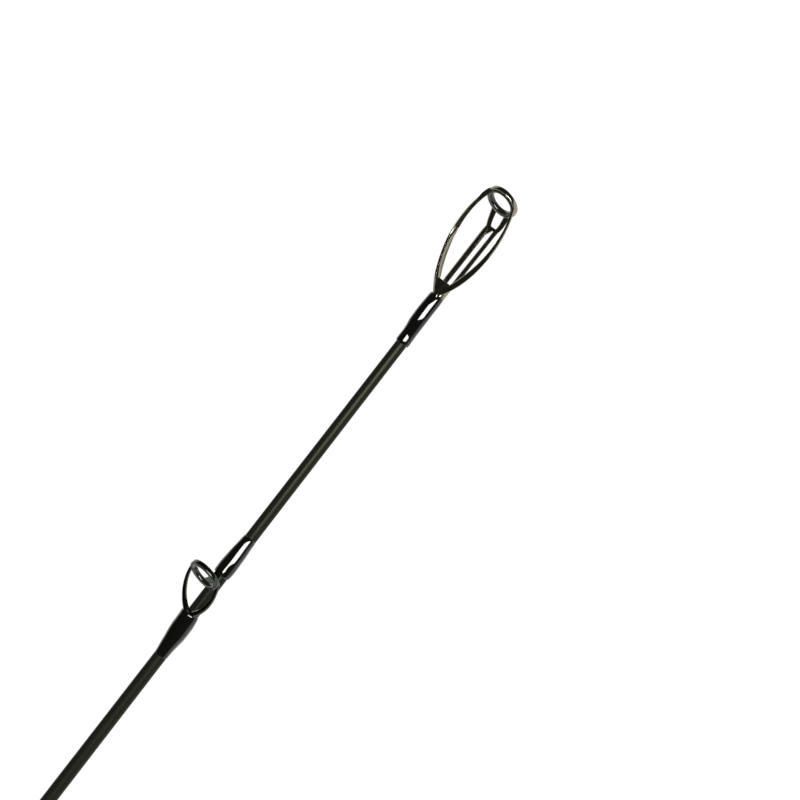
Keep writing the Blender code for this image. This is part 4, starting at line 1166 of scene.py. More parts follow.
@dataclass(frozen=True)
class TipTop(Fitting):
    """Tube, V plate, outer loop, inner braces and ring at the tip of the rod.

    Attributes:
        ring_height: Height of the ring's centre over the axis.
        tube_radius: Outer radius of the tube.
        tube_start: Rear end of the tube, from the rear end of the wrap.
        tube_end: Front end of the tube.
        wrap_length: Length of the wrap.
        loop_start: Apex of the V, from the rear end of the wrap.
        brace_spacing: Half the distance between the braces' middles.
        brace_drop: Depth of the braces below the axis, at their root.
        brace_fall: How much deeper they lie at the bridge.
        bridge_setback: Distance from the bridge to the ring's centre.
        spread: Angle round the ring, from its side down to the braces' ends, in degrees.
        collar_width: Width of the collar.
        plate_lift: Height of the middle of the V plate over the tube.
        loop_angle: Angle up from the ring's side where the loop meets it, in degrees.
        loop_inset: How far the loop's middle line ends inside the collar's rim.
    """

    name: str = "tip"
    from_tip: float = 0.0
    diameter: float = 0.0080
    bore: float = 0.0058
    width: float = 0.0015
    ring_height: float = 0.0044
    tube_radius: float = 0.0017
    tube_start: float = 0.0008
    tube_end: float = 0.0176
    wrap_length: float = 0.0148
    loop_start: float = 0.0149
    brace_spacing: float = 0.00115
    brace_drop: float = 0.0006
    brace_fall: float = 0.0008
    bridge_setback: float = 0.0061
    spread: float = 62.0
    collar_width: float = 0.00124
    plate_lift: float = 0.00045
    loop_angle: float = 24.0
    loop_inset: float = 0.00058

    @property
    def root(self) -> float:
        """Place of the rear end of the wrap."""
        return BLANK_SHAPE.tip_x

    @property
    def centre(self) -> Vector:
        """Middle of the ring."""
        return Vector((self.x, 0.0, self.ring_height))

    @property
    def plate_z(self) -> float:
        """Height of the middle of the V plate."""
        return self.tube_radius + self.plate_lift

    def tube(self) -> Piece:
        """Turn the drawn tube with its rolled front edge.

        Returns:
            The tube.
        """
        r = self.tube_radius
        a = self.root + self.tube_start
        b = self.root + self.tube_end
        stations = [(a, r - 0.0002), (a + 0.00008, r - 0.00004), (a + 0.0002, r), (b - 0.0002, r),
                    (b - 0.00008, r - 0.00004), (b, r - 0.0002), (b - 0.00005, r - 0.00032),
                    (b - 0.004, r - 0.00035), (b - 0.0045, r - 0.0005), (a, r - 0.0005)]
        return turned("tip_tube_drawn", stations, ring=True)

    def on_collar(self, radius: float, side: Side, angle: float) -> Vector:
        """Find a place on the leaning collar.

        Args:
            radius: Distance from the ring's centre.
            side: Side of the ring.
            angle: Angle up from that side in degrees.

        Returns:
            The place.
        """
        turn = math.radians(angle)
        up = radius * math.sin(turn)
        return self.centre + Vector((up * math.sin(LEAN), side.value * radius * math.cos(turn),
                                     up * math.cos(LEAN)))

    def loop_leg(self, side: Side) -> Piece:
        """Bend half of the outer loop.

        Args:
            side: Side that it stands on.

        Returns:
            The half loop.
        """
        end = self.on_collar(self.collar - self.loop_inset, side, self.loop_angle)
        apex = self.root + self.loop_start
        run, climb = self.x - apex, end.z - self.plate_z
        steer = [Vector((apex + share * run, side.value * half, self.plate_z + lift * climb))
                 for share, half, lift in LOOP_PATH]
        path = interpolate_bezier(*steer, end, 64)
        return Bar(path, scaled(LOOP_ROWS[side], MM), 64, LOOP_EDGE[side], 1).build("loop_leg")

    def gusset(self) -> Piece:
        """Fill the corner between the far half of the loop and the collar with braze.

        Returns:
            The web.
        """
        top = self.centre + Vector((-0.0042, 0.0048, 0.0012))
        foot = self.on_collar(self.collar - 0.0004, Side.FAR, 32.0) - Vector((0.0003, 0.0, 0.0))
        path = interpolate_bezier(top, top + Vector((0.0016, 0.0001, 0.0001)),
                                  foot + Vector((-0.0008, 0.0007, 0.0)), foot, 16)
        rows = ((0.0, 0.4, 0.5), (0.6, 1.1, 0.6), (1.0, 1.0, 0.6))
        return Bar(path, scaled(rows, MM), 16, 0.01, 1).build("gusset")

    def brace(self, side: Side) -> Piece:
        """Bend an inner leg: straight beside the slot, then out and up to the collar.

        Args:
            side: Side that it stands on.

        Returns:
            The leg.
        """
        out = side.value
        end = self.on_collar(self.collar - 0.00022, side, -self.spread)
        first = Vector((self.root + self.tube_end + 0.0001, out * self.brace_spacing,
                        -self.brace_drop))
        last = Vector((self.x - self.bridge_setback,
                       out * (self.brace_spacing + BRACE_PART[side]),
                       -self.brace_drop - self.brace_fall))
        straight = [first.lerp(last, i / 16) for i in range(16)]
        bend = interpolate_bezier(last, last + Vector((0.0010, out * 0.00055, 0.0003)),
                                  end - Vector((0.0014, out * 0.00015, 0.0009)), end, 24)
        wide, wider = BRACE_WIDTHS[side]
        rows = ((0.0, wide, 0.74), (0.72, wider, 0.74), (0.8, 1.25, 0.74), (1.0, 1.60, 0.7))
        return Bar(straight + list(bend), scaled(rows, MM), 48, 0.40, 1).build("brace")

    def wedge(self, name: str, low: Row, high: Row, front_half: float) -> Piece:
        """Make a flat plate that widens towards the ring, with rounded edges.

        Args:
            name: Name of the plate.
            low: Its lowest corner.
            high: Its highest corner, at the rear width.
            front_half: Half its width at the front.

        Returns:
            The plate.
        """
        piece = block(name, low, high)
        bpy.ops.object.mode_set(mode="EDIT")
        middle = (low[0] + high[0]) / 2
        select_where(piece, lambda co: co.x > middle)
        bpy.ops.transform.resize(value=(1.0, front_half / high[1], 1.0),
                                 center_override=(high[0], 0.0, 0.0))
        bpy.ops.object.mode_set(mode="OBJECT")
        return add_modifier(piece, "BEVEL", width=0.00015, segments=3, limit_method="NONE")

    def bars(self) -> list[Piece]:
        """Make V plate, root bar, tail in the tube and the bridge across the braces.

        Returns:
            The bars.
        """
        front = self.root + self.tube_end
        apex = self.root + self.loop_start
        bridge = self.x - self.bridge_setback
        drop = self.brace_drop
        low = drop + self.brace_fall
        reach = self.brace_spacing
        return [
            self.wedge("plate", (apex - 0.0004, -0.0007, self.plate_z - 0.00035),
                       (apex + 0.0034, 0.0007, self.plate_z + 0.00030), 0.0021),
            block("plate_tail", (apex - 0.0084, -0.0006, self.tube_radius + 0.00008),
                  (apex + 0.0006, 0.0006, self.plate_z + 0.00008), 0.00015),
            block("root", (front + 0.0001, -reach - 0.0005, -drop - 0.0004),
                  (front + 0.0009, reach + 0.0005, -drop + 0.0004), 0.0001),
            block("tail", (front - 0.002, -0.00075, -drop - 0.0003),
                  (front + 0.0004, 0.00075, -drop + 0.0003), 0.0001),
            block("bridge", (bridge - 0.0005, -reach, -low - 0.00036),
                  (bridge + 0.0003, reach, -low + 0.00036), 0.00006, 1),
            self.corner(bridge - 0.0004, reach, -low),
        ]

    def corner(self, x: float, reach: float, z: float) -> Piece:
        """Make the web in the far corner of the slot's end, as the brazing leaves it.

        Args:
            x: Place of its front face.
            reach: Place of its side at the brace.
            z: Height of its middle.

        Returns:
            The web.
        """
        piece = block("corner", (x - 0.0019, 0.0, z - 0.0003), (x, reach, z + 0.0003))
        bpy.ops.object.mode_set(mode="EDIT")
        select_where(piece, lambda co: co.x < x - 0.001 and co.y < reach / 2)
        bpy.ops.transform.translate(value=(0.0, reach * 0.6, 0.0))
        select_where(piece, lambda co: co.x > x - 0.001 and co.y < reach / 2)
        bpy.ops.transform.translate(value=(0.0, -0.0003, 0.0))
        bpy.ops.object.mode_set(mode="OBJECT")
        return piece

    def frame(self) -> Piece:
        """Join loop, braces, bars and collar as one brazed frame.

        Returns:
            The frame.
        """
        pieces = [self.collar_ring("tip_brazed_frame", self.collar_width), self.gusset()]
        for side in Side:
            pieces += [self.loop_leg(side), self.brace(side)]
        return joined(pieces + self.bars())

    def build(self) -> None:
        """Build the tube, frame, ring and wrap."""
        dress(self.tube(), FRAME, "tip_tube")
        dress(clean(self.frame(), STRIP_EDGES), FRAME, "tip_frame")
        self.insert()
        Wrap("tip", self.root - 0.0002, self.root + self.wrap_length, TIP_PROFILE,
             base=self.tube_radius).build()


# Handle


def flowing(rows: Sequence[Row], steps: int) -> list[Row]:
    """Run a smooth curve through rows of numbers.

    Args:
        rows: Rows that the curve passes through.
        steps: Steps between neighbouring rows.

    Returns:
        The rows with the new ones between them.
    """
    last = len(rows) - 1
    result = []
    for k in range(last):
        a, b, c, d = rows[max(0, k - 1)], rows[k], rows[k + 1], rows[min(last, k + 2)]
        for i in range(steps):
            t = i / steps
            result.append(tuple(0.5 * (2 * q + (r - p) * t + (2 * p - 5 * q + 4 * r - s) * t * t
                                       + (3 * q - p - 3 * r + s) * t ** 3)
                                for p, q, r, s in zip(a, b, c, d)))
    return result + [tuple(rows[-1])]


def rounded_edge(x: float, radius: float, size: float, end: End, steps: int = 5) -> list[Row]:
    """Quarter round at an end of a turned piece, in millimetres.

    Args:
        x: Place of the end.
        radius: Radius of the piece there.
        size: Size of the rounding.
        end: Which end it is.
        steps: Steps in the rounding.

    Returns:
        Stations in order along X.
    """
    angles = [QUARTER * i / steps for i in range(steps + 1)]
    arc = [(x - end.value * size * (1 - math.cos(a)), radius - size * (1 - math.sin(a)))
           for a in angles]
    return arc if end is End.REAR else arc[::-1]


def mirrored(half: Sequence[Row], length: float) -> list[Row]:
    """Add the stations of an outline's rear half at its front, in mirror order."""
    return [*half, *((length - x, radius) for x, radius in reversed(half))]


@dataclass(frozen=True)
class Sleeve:
    """Turned piece of the handle that seats on the blank.

    Attributes:
        name: Name of the piece.
        node: CAD node that it stands for.
        start: Place of its rear end.
        outline: Places from there and radii, in millimetres.
        finish: Its surface.
        floor: Depth of the closed end, for a cap.
        play: Room between bore and blank.
    """

    name: str
    node: str
    start: float
    outline: Sequence[Row]
    finish: Finish
    floor: float = 0.0
    play: float = 0.0003

    def build(self) -> Piece:
        """Turn the outline with a bore for the blank, closed at the floor of a cap.

        Returns:
            The dressed piece.
        """
        stations = placed(self.start, self.outline)
        front = stations[-1][0]
        rear = self.start + self.floor
        bore = [(x, BLANK_SHAPE.radius(x) + self.play) for x in (front, rear)]
        piece = turned(self.name, stations + bore, FINE_SIDES, ring=not self.floor)
        return dress(piece, self.finish, self.node)


def butt_cap_outline() -> list[Row]:
    """Draw the flat end with a shallow dish, big rounding and two fine grooves.

    Returns:
        Stations in millimetres.
    """
    dish = [(0.4, 0.4), (0.4, 7.6), (0.28, 8.1), (0.0, 8.5)]
    grooves = [(x + dx, 15.0 - depth) for x in (8.6, 11.4)
               for dx, depth in ((0.0, 0.0), (0.12, 0.28), (0.5, 0.28), (0.62, 0.0))]
    return (dish + rounded_edge(0.0, 15.0, 3.6, End.REAR, 8) + grooves
            + rounded_edge(15.0, 15.0, 0.8, End.FRONT))


def trim_outline(length: float, radius: float) -> list[Row]:
    """Draw a crowned ring with cut edges and one fine groove round its middle.

    Args:
        length: Its length in millimetres.
        radius: Its radius.

    Returns:
        Stations in millimetres.
    """
    middle = length / 2
    cuts = mirrored(((0.0, 0.75), (0.1, 0.62), (0.35, 0.22), (middle - 0.5, 0.02),
                     (middle - 0.2, 0.0), (middle - 0.1, 0.22)), length)
    return [(x, radius - depth) for x, depth in cuts]


def rear_grip_outline(length: float = 220.0, waist: float = 0.55) -> list[Row]:
    """Draw the long grip with a waist past its middle.

    Args:
        length: Its length in millimetres.
        waist: Share of the length where it is slimmest.

    Returns:
        Stations in millimetres.
    """
    rows = []
    for i in range(1, 48):
        share = i / 48
        side, part = (14.2, waist) if share < waist else (12.6, 1 - waist)
        fall = math.cos(QUARTER * (share - waist) / part) ** 2
        rows.append((length * share, blend(side, 11.6, fall)))
    return (rounded_edge(0.0, 14.2, 1.0, End.REAR) + rows
            + rounded_edge(length, 12.6, 1.0, End.FRONT))


def foregrip_outline(length: float = 50.0, swell: float = 11.0) -> list[Row]:
    """Draw the short grip that swells and then tapers forwards.

    Args:
        length: Its length in millimetres.
        swell: Place of its largest radius.

    Returns:
        Stations in millimetres.
    """
    rows = [(share * swell, blend(12.2, 12.8, math.sin(QUARTER * share) ** 2))
            for share in (0.3, 0.6, 0.85, 1.0)]
    for i in range(1, 20):
        share = i / 20
        rows.append((swell + (length - swell) * share,
                     blend(12.8, 8.6, math.sin(QUARTER * share) ** 2)))
    return (rounded_edge(0.0, 12.2, 0.9, End.REAR) + rows
            + rounded_edge(length, 8.6, 0.9, End.FRONT))


# Band and cone that close the foregrip down to the blank.
CHECK_OUTLINE = ((0.0, 8.15), (0.15, 8.45), (0.5, 8.6), (1.9, 8.6), (2.1, 8.5), (2.25, 8.2),
                 (2.5, 8.2), (2.9, 8.15), (4.0, 7.3), (5.2, 6.3), (6.2, 5.72), (6.75, 5.55),
                 (7.0, 5.25))

SLEEVES = (
    Sleeve("butt_cap_rubber", "butt_cap", 0.0, butt_cap_outline(), RUBBER, 0.0043),
    Sleeve("butt_trim", "butt_ring", 0.0153, trim_outline(3.0, 14.4), ANODISED),
    Sleeve("rear_grip_foam", "rear_grip", 0.0186, rear_grip_outline(), FOAM),
    Sleeve("seat_trim", "seat_ring", 0.2389, trim_outline(4.0, 12.7), ANODISED),
    Sleeve("fore_trim", "fore_ring", 0.3725, trim_outline(3.0, 12.2), ANODISED),
    Sleeve("foregrip_foam", "foregrip", 0.3758, foregrip_outline(), FOAM),
    Sleeve("front_check_turned", "front_check", 0.4261, CHECK_OUTLINE, ANODISED),
)


# Reel seat


def flat_topped(x: float, radius: float, flat: float, sides: int) -> list[Vector]:
    """Round section with its top cut flat."""
    return [Vector((x, radius * c, min(flat, radius * s))) for c, s in circle(sides)]


@dataclass(frozen=True)
class ReelSeat:
    """Moulded seat with fixed hood, deck, trigger and threaded barrel, its hood and its nut.

    Attributes:
        start: Place of the seat's rear end.
        length: Its length.
        deck: Height of the flat deck over the axis.
        barrel_start: Place from the rear end where the threaded barrel begins.
        barrel_radius: Crest of the thread.
        pitch: Pitch of the thread.
        pocket: Half width of the space for the reel's foot.
        roof: Height of its roof.
        mouth: Place of the fixed hood's mouth from the rear end.
        hood: Place of the sliding hood.
        nut: Place of the lock nut.
        trigger_x: Place of the trigger from the rear end.
        trigger_depth: Its depth below the axis.
        thread_depth: Depth of the thread.
        gap: Room between the barrel and the sliding hood.
        flute_circle: Radius of the circle that the flutes' middles lie on.
    """

    start: float = 0.2432
    length: float = 0.1290
    deck: float = 0.0085
    barrel_start: float = 0.0700
    barrel_radius: float = 0.0098
    pitch: float = 0.0020
    pocket: float = 0.0073
    roof: float = 0.0146
    mouth: float = 0.0215
    hood: float = 0.3339
    nut: float = 0.3522
    trigger_x: float = 0.0480
    trigger_depth: float = 0.0335
    thread_depth: float = 0.00062
    gap: float = 0.00025
    flute_circle: float = 0.0148

    def moulding(self) -> Piece:
        """Make the body with the fixed hood, its pocket and the deck.

        Returns:
            The body.
        """
        rows = rounded_edge(0.0, 12.6, 0.9, End.REAR) + [
            (6.0, 12.6), (13.0, 12.6), (15.0, 12.52), (18.0, 12.25), (21.5, 12.02), (23.5, 11.92),
            (26.0, 11.9), (36.0, 11.9), (52.0, 11.9), (66.0, 11.9), (68.5, 11.75), (69.6, 11.2),
            (70.0, 10.7)]
        body = turned("reel_seat_moulding", placed(self.start, rows), FINE_SIDES)
        mouth = self.start + self.mouth
        combine(body, block("flat", (mouth - 0.006, -0.02, self.deck),
                            (self.start + 0.08, 0.02, 0.03)), Boolean.CUT)
        shape = flowing(((0.4, 11.4, 11.3), (1.4, 12.1, 12.3), (3.0, 12.5, 13.3),
                         (5.4, 12.7, 15.3), (8.0, 12.8, 16.6), (11.5, 12.8, 17.3),
                         (15.5, 12.8, 17.6), (19.0, 12.8, 17.5), (20.6, 12.8, 17.3),
                         (21.4, 12.6, 17.0), (21.8, 12.2, 16.6)), 3)
        arches = [arch(self.start + x * MM, half * MM, top * MM, self.barrel_radius, 3.2, 72)
                  for x, half, top in shape]
        combine(body, lofted("hood", arches), Boolean.ADD)
        combine(body, self.pocket_space(mouth - 0.014, mouth + 0.006, self.deck - 0.0001),
                Boolean.CUT)
        return evened(clean(body, HOOD_EDGES))

    def pocket_space(self, rear: float, front: float, floor: float) -> Piece:
        """Cutter for one end of the reel's foot, with rounded corners."""
        return block("pocket", (rear, -self.pocket, floor), (front, self.pocket, self.roof),
                     0.0015, 4)

    def thread(self) -> Piece:
        """Make the barrel with its thread, which runs out at both ends under a flat top.

        Returns:
            The barrel.
        """
        first = self.barrel_start - 0.001
        count = round((self.length - first) / 0.00025)
        round_points = circle(72)
        sections = []
        for i in range(count + 1):
            x = blend(first, self.length, i / count)
            depth = self.thread_depth * min(1.0, max(0.0, (x - self.barrel_start - 0.001) / 0.0015))
            chamfer = 0.0005 * max(0.0, (x - self.length + 0.001) / 0.001)
            points = []
            for k, (c, s) in enumerate(round_points):
                wave = 0.5 - 0.5 * math.cos(math.tau * (x / self.pitch - k / len(round_points)))
                radius = self.barrel_radius - depth * min(1.0, 1.5 * wave) - chamfer
                points.append(Vector((self.start + x, radius * c,
                                      min(self.deck - 0.0001, radius * s))))
            sections.append(points)
        return lofted("thread", sections)

    def trigger(self) -> Piece:
        """Make the finger hook: a wide root, a slim shank and a rounded end that points forwards.

        Returns:
            The trigger.
        """
        rows = flowing(((0.20, 0.0, 20.5, 9.1), (0.28, 0.1, 17.0, 8.4), (0.35, 0.4, 13.8, 7.6),
                        (0.47, -1.0, 9.4, 6.4), (0.62, -2.2, 6.7, 5.6), (0.78, -1.0, 5.6, 5.3),
                        (0.90, 1.8, 5.0, 5.0), (0.97, 4.0, 3.6, 4.0), (0.992, 4.9, 2.4, 2.9),
                        (1.0, 5.2, 1.3, 1.7)), 5)
        sections = []
        for fall, shift, half_length, half_width in rows:
            x = self.start + self.trigger_x + shift * MM
            sections.append([Vector((x + half_length * MM * c, half_width * MM * s,
                                     -self.trigger_depth * fall)) for c, s in circle(48)])
        return lofted("trigger", sections)

    def liner(self, name: str, node: str, rear: float, front: float, body: Body) -> None:
        """Bend the thin steel lining under a hood's roof.

        Args:
            name: Name of the piece.
            node: CAD node that it stands for.
            rear: Place of its rear end.
            front: Place of its front end.
            body: Rigid body that it rides on.
        """
        outside = self.pocket - 0.00015
        top = self.roof - 0.00015
        sheet = 0.0005
        piece = block(name, (rear, -outside, top - 0.0060), (front, outside, top), 0.0014, 4)
        inner = block("inner", (rear - 0.004, -outside + sheet, top - 0.0090),
                      (front + 0.004, outside - sheet, top - sheet), 0.0011, 4)
        combine(piece, inner, Boolean.CUT)
        low = block("low", (rear - 0.001, -0.01, top - 0.0070),
                    (front + 0.001, 0.01, self.roof - 0.0030))
        combine(piece, low, Boolean.CUT)
        dress(clean(piece, CUT_EDGES), STEEL, node, body)

    def sliding_hood(self) -> Piece:
        """Make the hood on the barrel, with a collar line where the nut pushes it.

        Returns:
            The hood.
        """
        shape = flowing(((0.0, 12.2, 16.4, 11.8), (0.35, 12.5, 16.9, 12.15),
                         (1.0, 12.8, 17.3, 12.5), (4.0, 12.8, 17.55, 12.6),
                         (8.1, 12.8, 17.6, 12.6), (11.0, 12.8, 16.9, 12.6),
                         (13.5, 12.8, 15.5, 12.6), (15.2, 12.8, 14.1, 12.6),
                         (15.9, 12.75, 13.6, 12.55), (16.1, 12.4, 13.2, 12.2),
                         (16.5, 12.4, 13.0, 12.2), (16.7, 12.7, 13.15, 12.5),
                         (17.4, 12.6, 13.05, 12.45), (18.0, 12.2, 12.5, 12.0)), 2)
        arches = [arch(self.hood + x * MM, half * MM, top * MM, bottom * MM, 2.6, 80)
                  for x, half, top, bottom in shape]
        piece = lofted("sliding_hood_moulding", arches)
        bore = lofted("bore", [flat_topped(x, self.barrel_radius + self.gap,
                                           self.deck + self.gap, 80)
                               for x in (self.hood - 0.003, self.hood + 0.022)])
        combine(piece, bore, Boolean.CUT)
        combine(piece, self.pocket_space(self.hood - 0.004, self.hood + 0.014, 0.0055),
                Boolean.CUT)
        return evened(clean(piece, HOOD_EDGES))

    def lock_nut(self) -> Piece:
        """Turn the nut with two rims and cut its twelve scalloped flutes.

        Returns:
            The nut.
        """
        rim = ((0.0, 10.45), (0.0, 11.9), (0.3, 12.35), (0.7, 12.55), (1.3, 12.55),
               (1.45, 12.7), (1.75, 13.05), (2.0, 13.1))
        rows = mirrored(rim, 14.0) + [(13.6, 10.08), (0.4, 10.08)]
        nut = turned("lock_nut_turned", placed(self.nut, rows), 120, ring=True)
        flutes = []
        for i in range(12):
            turn = math.tau * (i + 0.5) / 12
            deselect()
            bpy.ops.mesh.primitive_cylinder_add(
                vertices=32, radius=0.0024, depth=0.018, rotation=(0.0, QUARTER, 0.0),
                location=(self.nut + 0.007, self.flute_circle * math.cos(turn),
                          self.flute_circle * math.sin(turn)))
            flutes.append(named("flute"))
        return evened(clean(combine(nut, joined(flutes), Boolean.CUT), CUT_EDGES))

    def build(self) -> None:
        """Build the seat, both liners, the sliding hood and the nut."""
        dress(joined([self.moulding(), self.thread(), self.trigger()]), NYLON, "reel_seat")
        mouth = self.start + self.mouth - 0.0008
        self.liner("rear_lining", "rear_hood_liner", mouth - 0.011, mouth, Body.ROD)
        dress(self.sliding_hood(), NYLON, "sliding_hood", Body.HOOD)
        mouth = self.hood + 0.0008
        self.liner("front_lining", "front_hood_liner", mouth, mouth + 0.011, Body.HOOD)
        dress(self.lock_nut(), ANODISED, "lock_nut", Body.NUT)


# Hook keeper


@dataclass(frozen=True)
class Keeper:
    """Plate with two ears under thread, and a wire bail that folds.

    Attributes:
        x: Place of the hinge pin.
        pin_z: Its height.
        wire_radius: Radius of the bail's wire.
        reach: Length of the bail.
        half_width: Half its width, to the middle of the wire.
        ear_y: Place of the ears' middles.
        ear_radius: Radius of an ear's round top.
        ear_thickness: Thickness of an ear.
        hole_radius: Radius of its hole.
        wrap_start: Distance from the pin to the near end of each wrap.
        wrap_end: Distance from the pin to its far end.
    """

    x: float = 0.4849
    pin_z: float = 0.006611
    wire_radius: float = 0.00055
    reach: float = 0.0115
    half_width: float = 0.0033
    ear_y: float = 0.0021
    ear_radius: float = 0.0014
    ear_thickness: float = 0.0009
    hole_radius: float = 0.0007
    wrap_start: float = 0.0020
    wrap_end: float = 0.0095

    def ear(self, side: Side) -> Piece:
        """Make a lug with a round top and a drilled hole.

        Args:
            side: Side that it stands on.

        Returns:
            The lug.
        """
        y = side.value * self.ear_y
        half = self.ear_thickness / 2
        pieces = []
        for radius, depth in ((self.ear_radius, self.ear_thickness), (self.hole_radius, 0.004)):
            deselect()
            bpy.ops.mesh.primitive_cylinder_add(vertices=48, radius=radius, depth=depth,
                                                location=(self.x, y, self.pin_z),
                                                rotation=(QUARTER, 0.0, 0.0))
            pieces.append(named("ear"))
        lug, hole = pieces
        foot = block("ear_foot", (self.x - self.ear_radius, y - half, self.pin_z - 0.0034),
                     (self.x + self.ear_radius, y + half, self.pin_z))
        combine(lug, foot, Boolean.ADD)
        combine(lug, hole, Boolean.CUT)
        return add_modifier(lug, "BEVEL", width=0.00009, segments=2, limit_method="ANGLE",
                            angle_limit=math.radians(50.0))

    def base(self) -> Piece:
        """Join the plate, two feet and two ears.

        Returns:
            The base.
        """
        floor = BLANK_SHAPE.radius(self.x) + 0.00015
        half = self.ear_y + self.ear_thickness / 2
        plate = block("keeper_plate", (self.x - self.ear_radius, -half, floor - 0.0014),
                      (self.x + self.ear_radius, half, floor + 0.00055), 0.00014)
        rows = scaled(((0.0, 3.0, 0.8), (0.25, 2.0, 0.7), (1.0, 1.6, 0.3)), MM)
        pieces = [plate, *map(self.ear, Side)]
        for end in End:
            path = [Vector((self.x + end.value * 0.0010, 0.0, floor + 0.00015)),
                    Vector((self.x + end.value * 0.0080, 0.0, floor - 0.00002))]
            pieces.append(Bar(path, rows, 8, 0.2).build("keeper_foot"))
        return joined(pieces)

    def bail(self) -> Piece:
        """Bend the wire from one ear round to the other.

        Returns:
            The bail.
        """
        wide = self.half_width
        inside = self.ear_y - self.ear_thickness / 2 - 0.0001
        corner = 0.0009
        half = [(0.0, inside), (0.0, wide - corner)]
        half += [(corner * (1 - math.cos(a)), wide - corner + corner * math.sin(a))
                 for a in (QUARTER * i / 8 for i in range(1, 9))]
        centre = self.reach - wide
        arc = [(centre + wide * math.sin(a), wide * math.cos(a))
               for a in (math.pi * i / 32 for i in range(33))]
        route = half + arc + [(x, -y) for x, y in half[::-1]]
        path = [Vector((self.x + x, y, self.pin_z)) for x, y in route]
        return wire("keeper_bail", path, self.wire_radius)

    def build(self) -> None:
        """Build the base, the bail and both wraps."""
        dress(clean(self.base()), SHADED_GUIDE_FRAME, "keeper_base")
        dress(self.bail(), ANODISED, "keeper_loop", Body.LOOP)
        for end in End:
            Wrap(f"keeper_{end.name.lower()}", self.x + end.value * self.wrap_start,
                 self.x + end.value * self.wrap_end, KEEPER_PROFILE).build()


# Studio


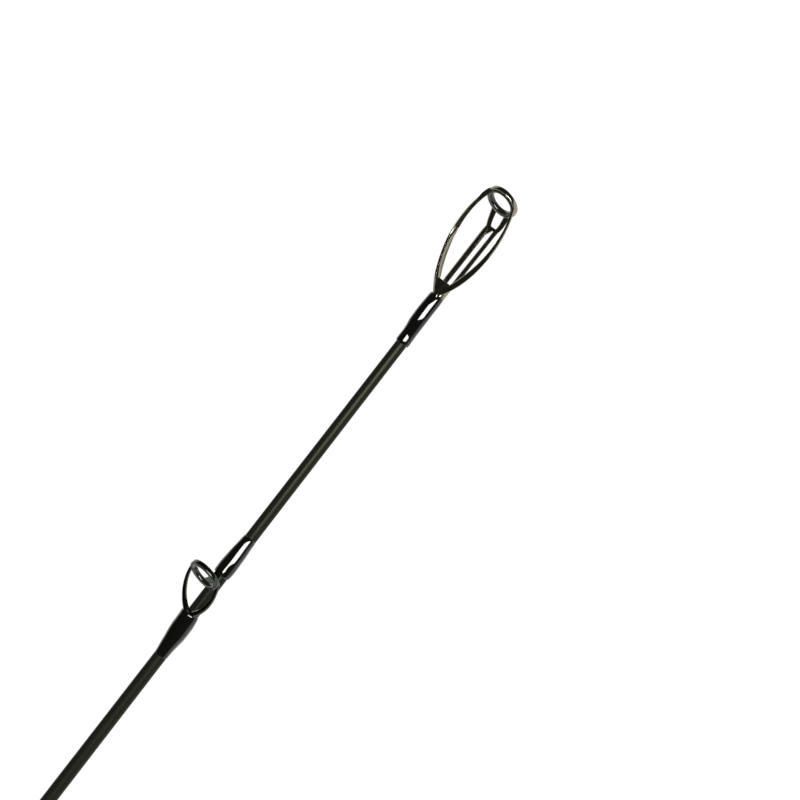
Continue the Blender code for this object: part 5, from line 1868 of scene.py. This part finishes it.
@dataclass(frozen=True)
class Studio:
    """Camera at the photograph's angle, soft lights and a white floor.

    Attributes:
        target: Point at the middle of the picture.
        tilt: Angle of the camera away from straight above, towards -Y, in degrees.
        slope: Slope of the rod in the picture, in degrees.
        distance: Distance from the camera to the target.
        lens: Focal length for a sensor of 36 mm.
        floor_z: Height of the floor.
        key_along: Direction of the key light from the camera's, along the rod, in degrees.
        key_down: The same round the rod.
        key_distance: Its distance from the target.
        key_size: Its width and height.
        key_power: Its power in watts.
        room: Strength of the even light of the room.
    """

    target: tuple[float, float, float] = (1.77425, -0.0076, -0.00292)
    tilt: float = 21.0
    slope: float = 52.29
    distance: float = 0.54
    lens: float = 99.6
    floor_z: float = -0.0338
    key_along: float = 5.7
    key_down: float = -10.0
    key_distance: float = 7.0
    key_size: tuple[float, float] = (1.9, 6.2)
    key_power: float = 900.0
    room: float = 0.03

    @property
    def towards_camera(self) -> Vector:
        """Direction from the object to the camera."""
        angle = math.radians(self.tilt)
        return Vector((0.0, -math.sin(angle), math.cos(angle)))

    def camera(self) -> None:
        """Set the camera up, rolled so that the rod rises to the right."""
        data = bpy.data.cameras.new("camera")
        data.lens = self.lens
        data.sensor_width = 36.0
        data.clip_start = 0.01
        data.clip_end = 200.0
        camera = linked("camera", data)
        back = self.towards_camera
        along = Vector((1.0, 0.0, 0.0))
        up_rod = back.cross(along)
        c, s = math.cos(math.radians(self.slope)), math.sin(math.radians(self.slope))
        right = along * c - up_rod * s
        up = along * s + up_rod * c
        turn = Matrix((right, up, back)).transposed().to_4x4()
        place = Vector(self.target) + back * self.distance
        camera.matrix_world = Matrix.Translation(place) @ turn
        bpy.context.scene.camera = camera

    def key(self) -> None:
        """Hang the soft rectangular key light so that it looks at the rod."""
        data = bpy.data.lights.new("key", "AREA")
        data.shape = "RECTANGLE"
        data.size, data.size_y = self.key_size
        data.energy = self.key_power
        lamp = linked("key", data)
        angle = math.radians(self.tilt - self.key_down)
        side = math.tan(math.radians(self.key_along))
        direction = Vector((side, -math.sin(angle), math.cos(angle))).normalized()
        place = Vector(self.target) + direction * self.key_distance
        lamp.matrix_world = (Matrix.Translation(place)
                             @ direction.to_track_quat("Z", "Y").to_matrix().to_4x4())

    def floor(self) -> None:
        """Lay the white floor: it shows white and keeps a soft shadow."""
        deselect()
        bpy.ops.mesh.primitive_plane_add(size=80.0, location=(0.9, 0.0, self.floor_z))
        floor = named("studio_floor")
        paper = bpy.data.materials.new("studio_paper")
        paper.use_nodes = True
        tree = paper.node_tree
        shader = tree.nodes["Principled BSDF"]
        shader.inputs["Base Color"].default_value = linear("#f4f4f4")
        shader.inputs["Roughness"].default_value = 0.9
        path = add_node(paper, "ShaderNodeLightPath")
        seen = path.outputs["Is Camera Ray"]
        for ray in ("Is Glossy Ray", "Is Transmission Ray"):
            seen = add_node(paper, "ShaderNodeMath", {0: seen, 1: path.outputs[ray]},
                            operation="MAXIMUM").outputs[0]
        # The rest of what is seen is the lit paper, which shows the shadow.
        share = add_node(paper, "ShaderNodeMath", {0: seen, 1: 0.8}, operation="MULTIPLY")
        glow = add_node(paper, "ShaderNodeEmission", {"Color": (1.0, 1.0, 1.0, 1.0),
                                                      "Strength": 1.0})
        mix = add_node(paper, "ShaderNodeMixShader", {0: share.outputs[0],
                                                      1: shader.outputs["BSDF"],
                                                      2: glow.outputs["Emission"]})
        tree.links.new(mix.outputs["Shader"], tree.nodes["Material Output"].inputs["Surface"])
        floor.data.materials.append(paper)

    def world(self) -> None:
        """Fill the room with a low even light."""
        world = bpy.data.worlds.new("studio_room")
        world.use_nodes = True
        sky = world.node_tree.nodes["Background"]
        sky.inputs["Color"].default_value = linear("#ffffff")
        sky.inputs["Strength"].default_value = self.room
        bpy.context.scene.world = world

    def build(self) -> None:
        """Set up camera, key light, floor and room."""
        self.camera()
        self.key()
        self.floor()
        self.world()
        bpy.context.scene.view_settings.view_transform = "Standard"


def main() -> None:
    """Build the rod from tip to butt, then the studio round it."""
    logging.basicConfig(level=logging.INFO, format="%(message)s")
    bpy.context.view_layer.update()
    Studio().build()
    BLANK_SHAPE.build()
    TipTop().build()
    for guide in GUIDES:
        guide.build()
    for sleeve in SLEEVES:
        sleeve.build()
    Wrap("butt", 0.4334, 0.4634, PLAIN_PROFILE).build()
    ReelSeat().build()
    Keeper().build()
    for node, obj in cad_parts.items():
        if not obj.hide_render:
            obj.data.materials.clear()
            obj.data.materials.append(ARBOR.material())
            LOG.info("%s keeps its CAD shape", node)


if __name__ == "__main__":
    main()
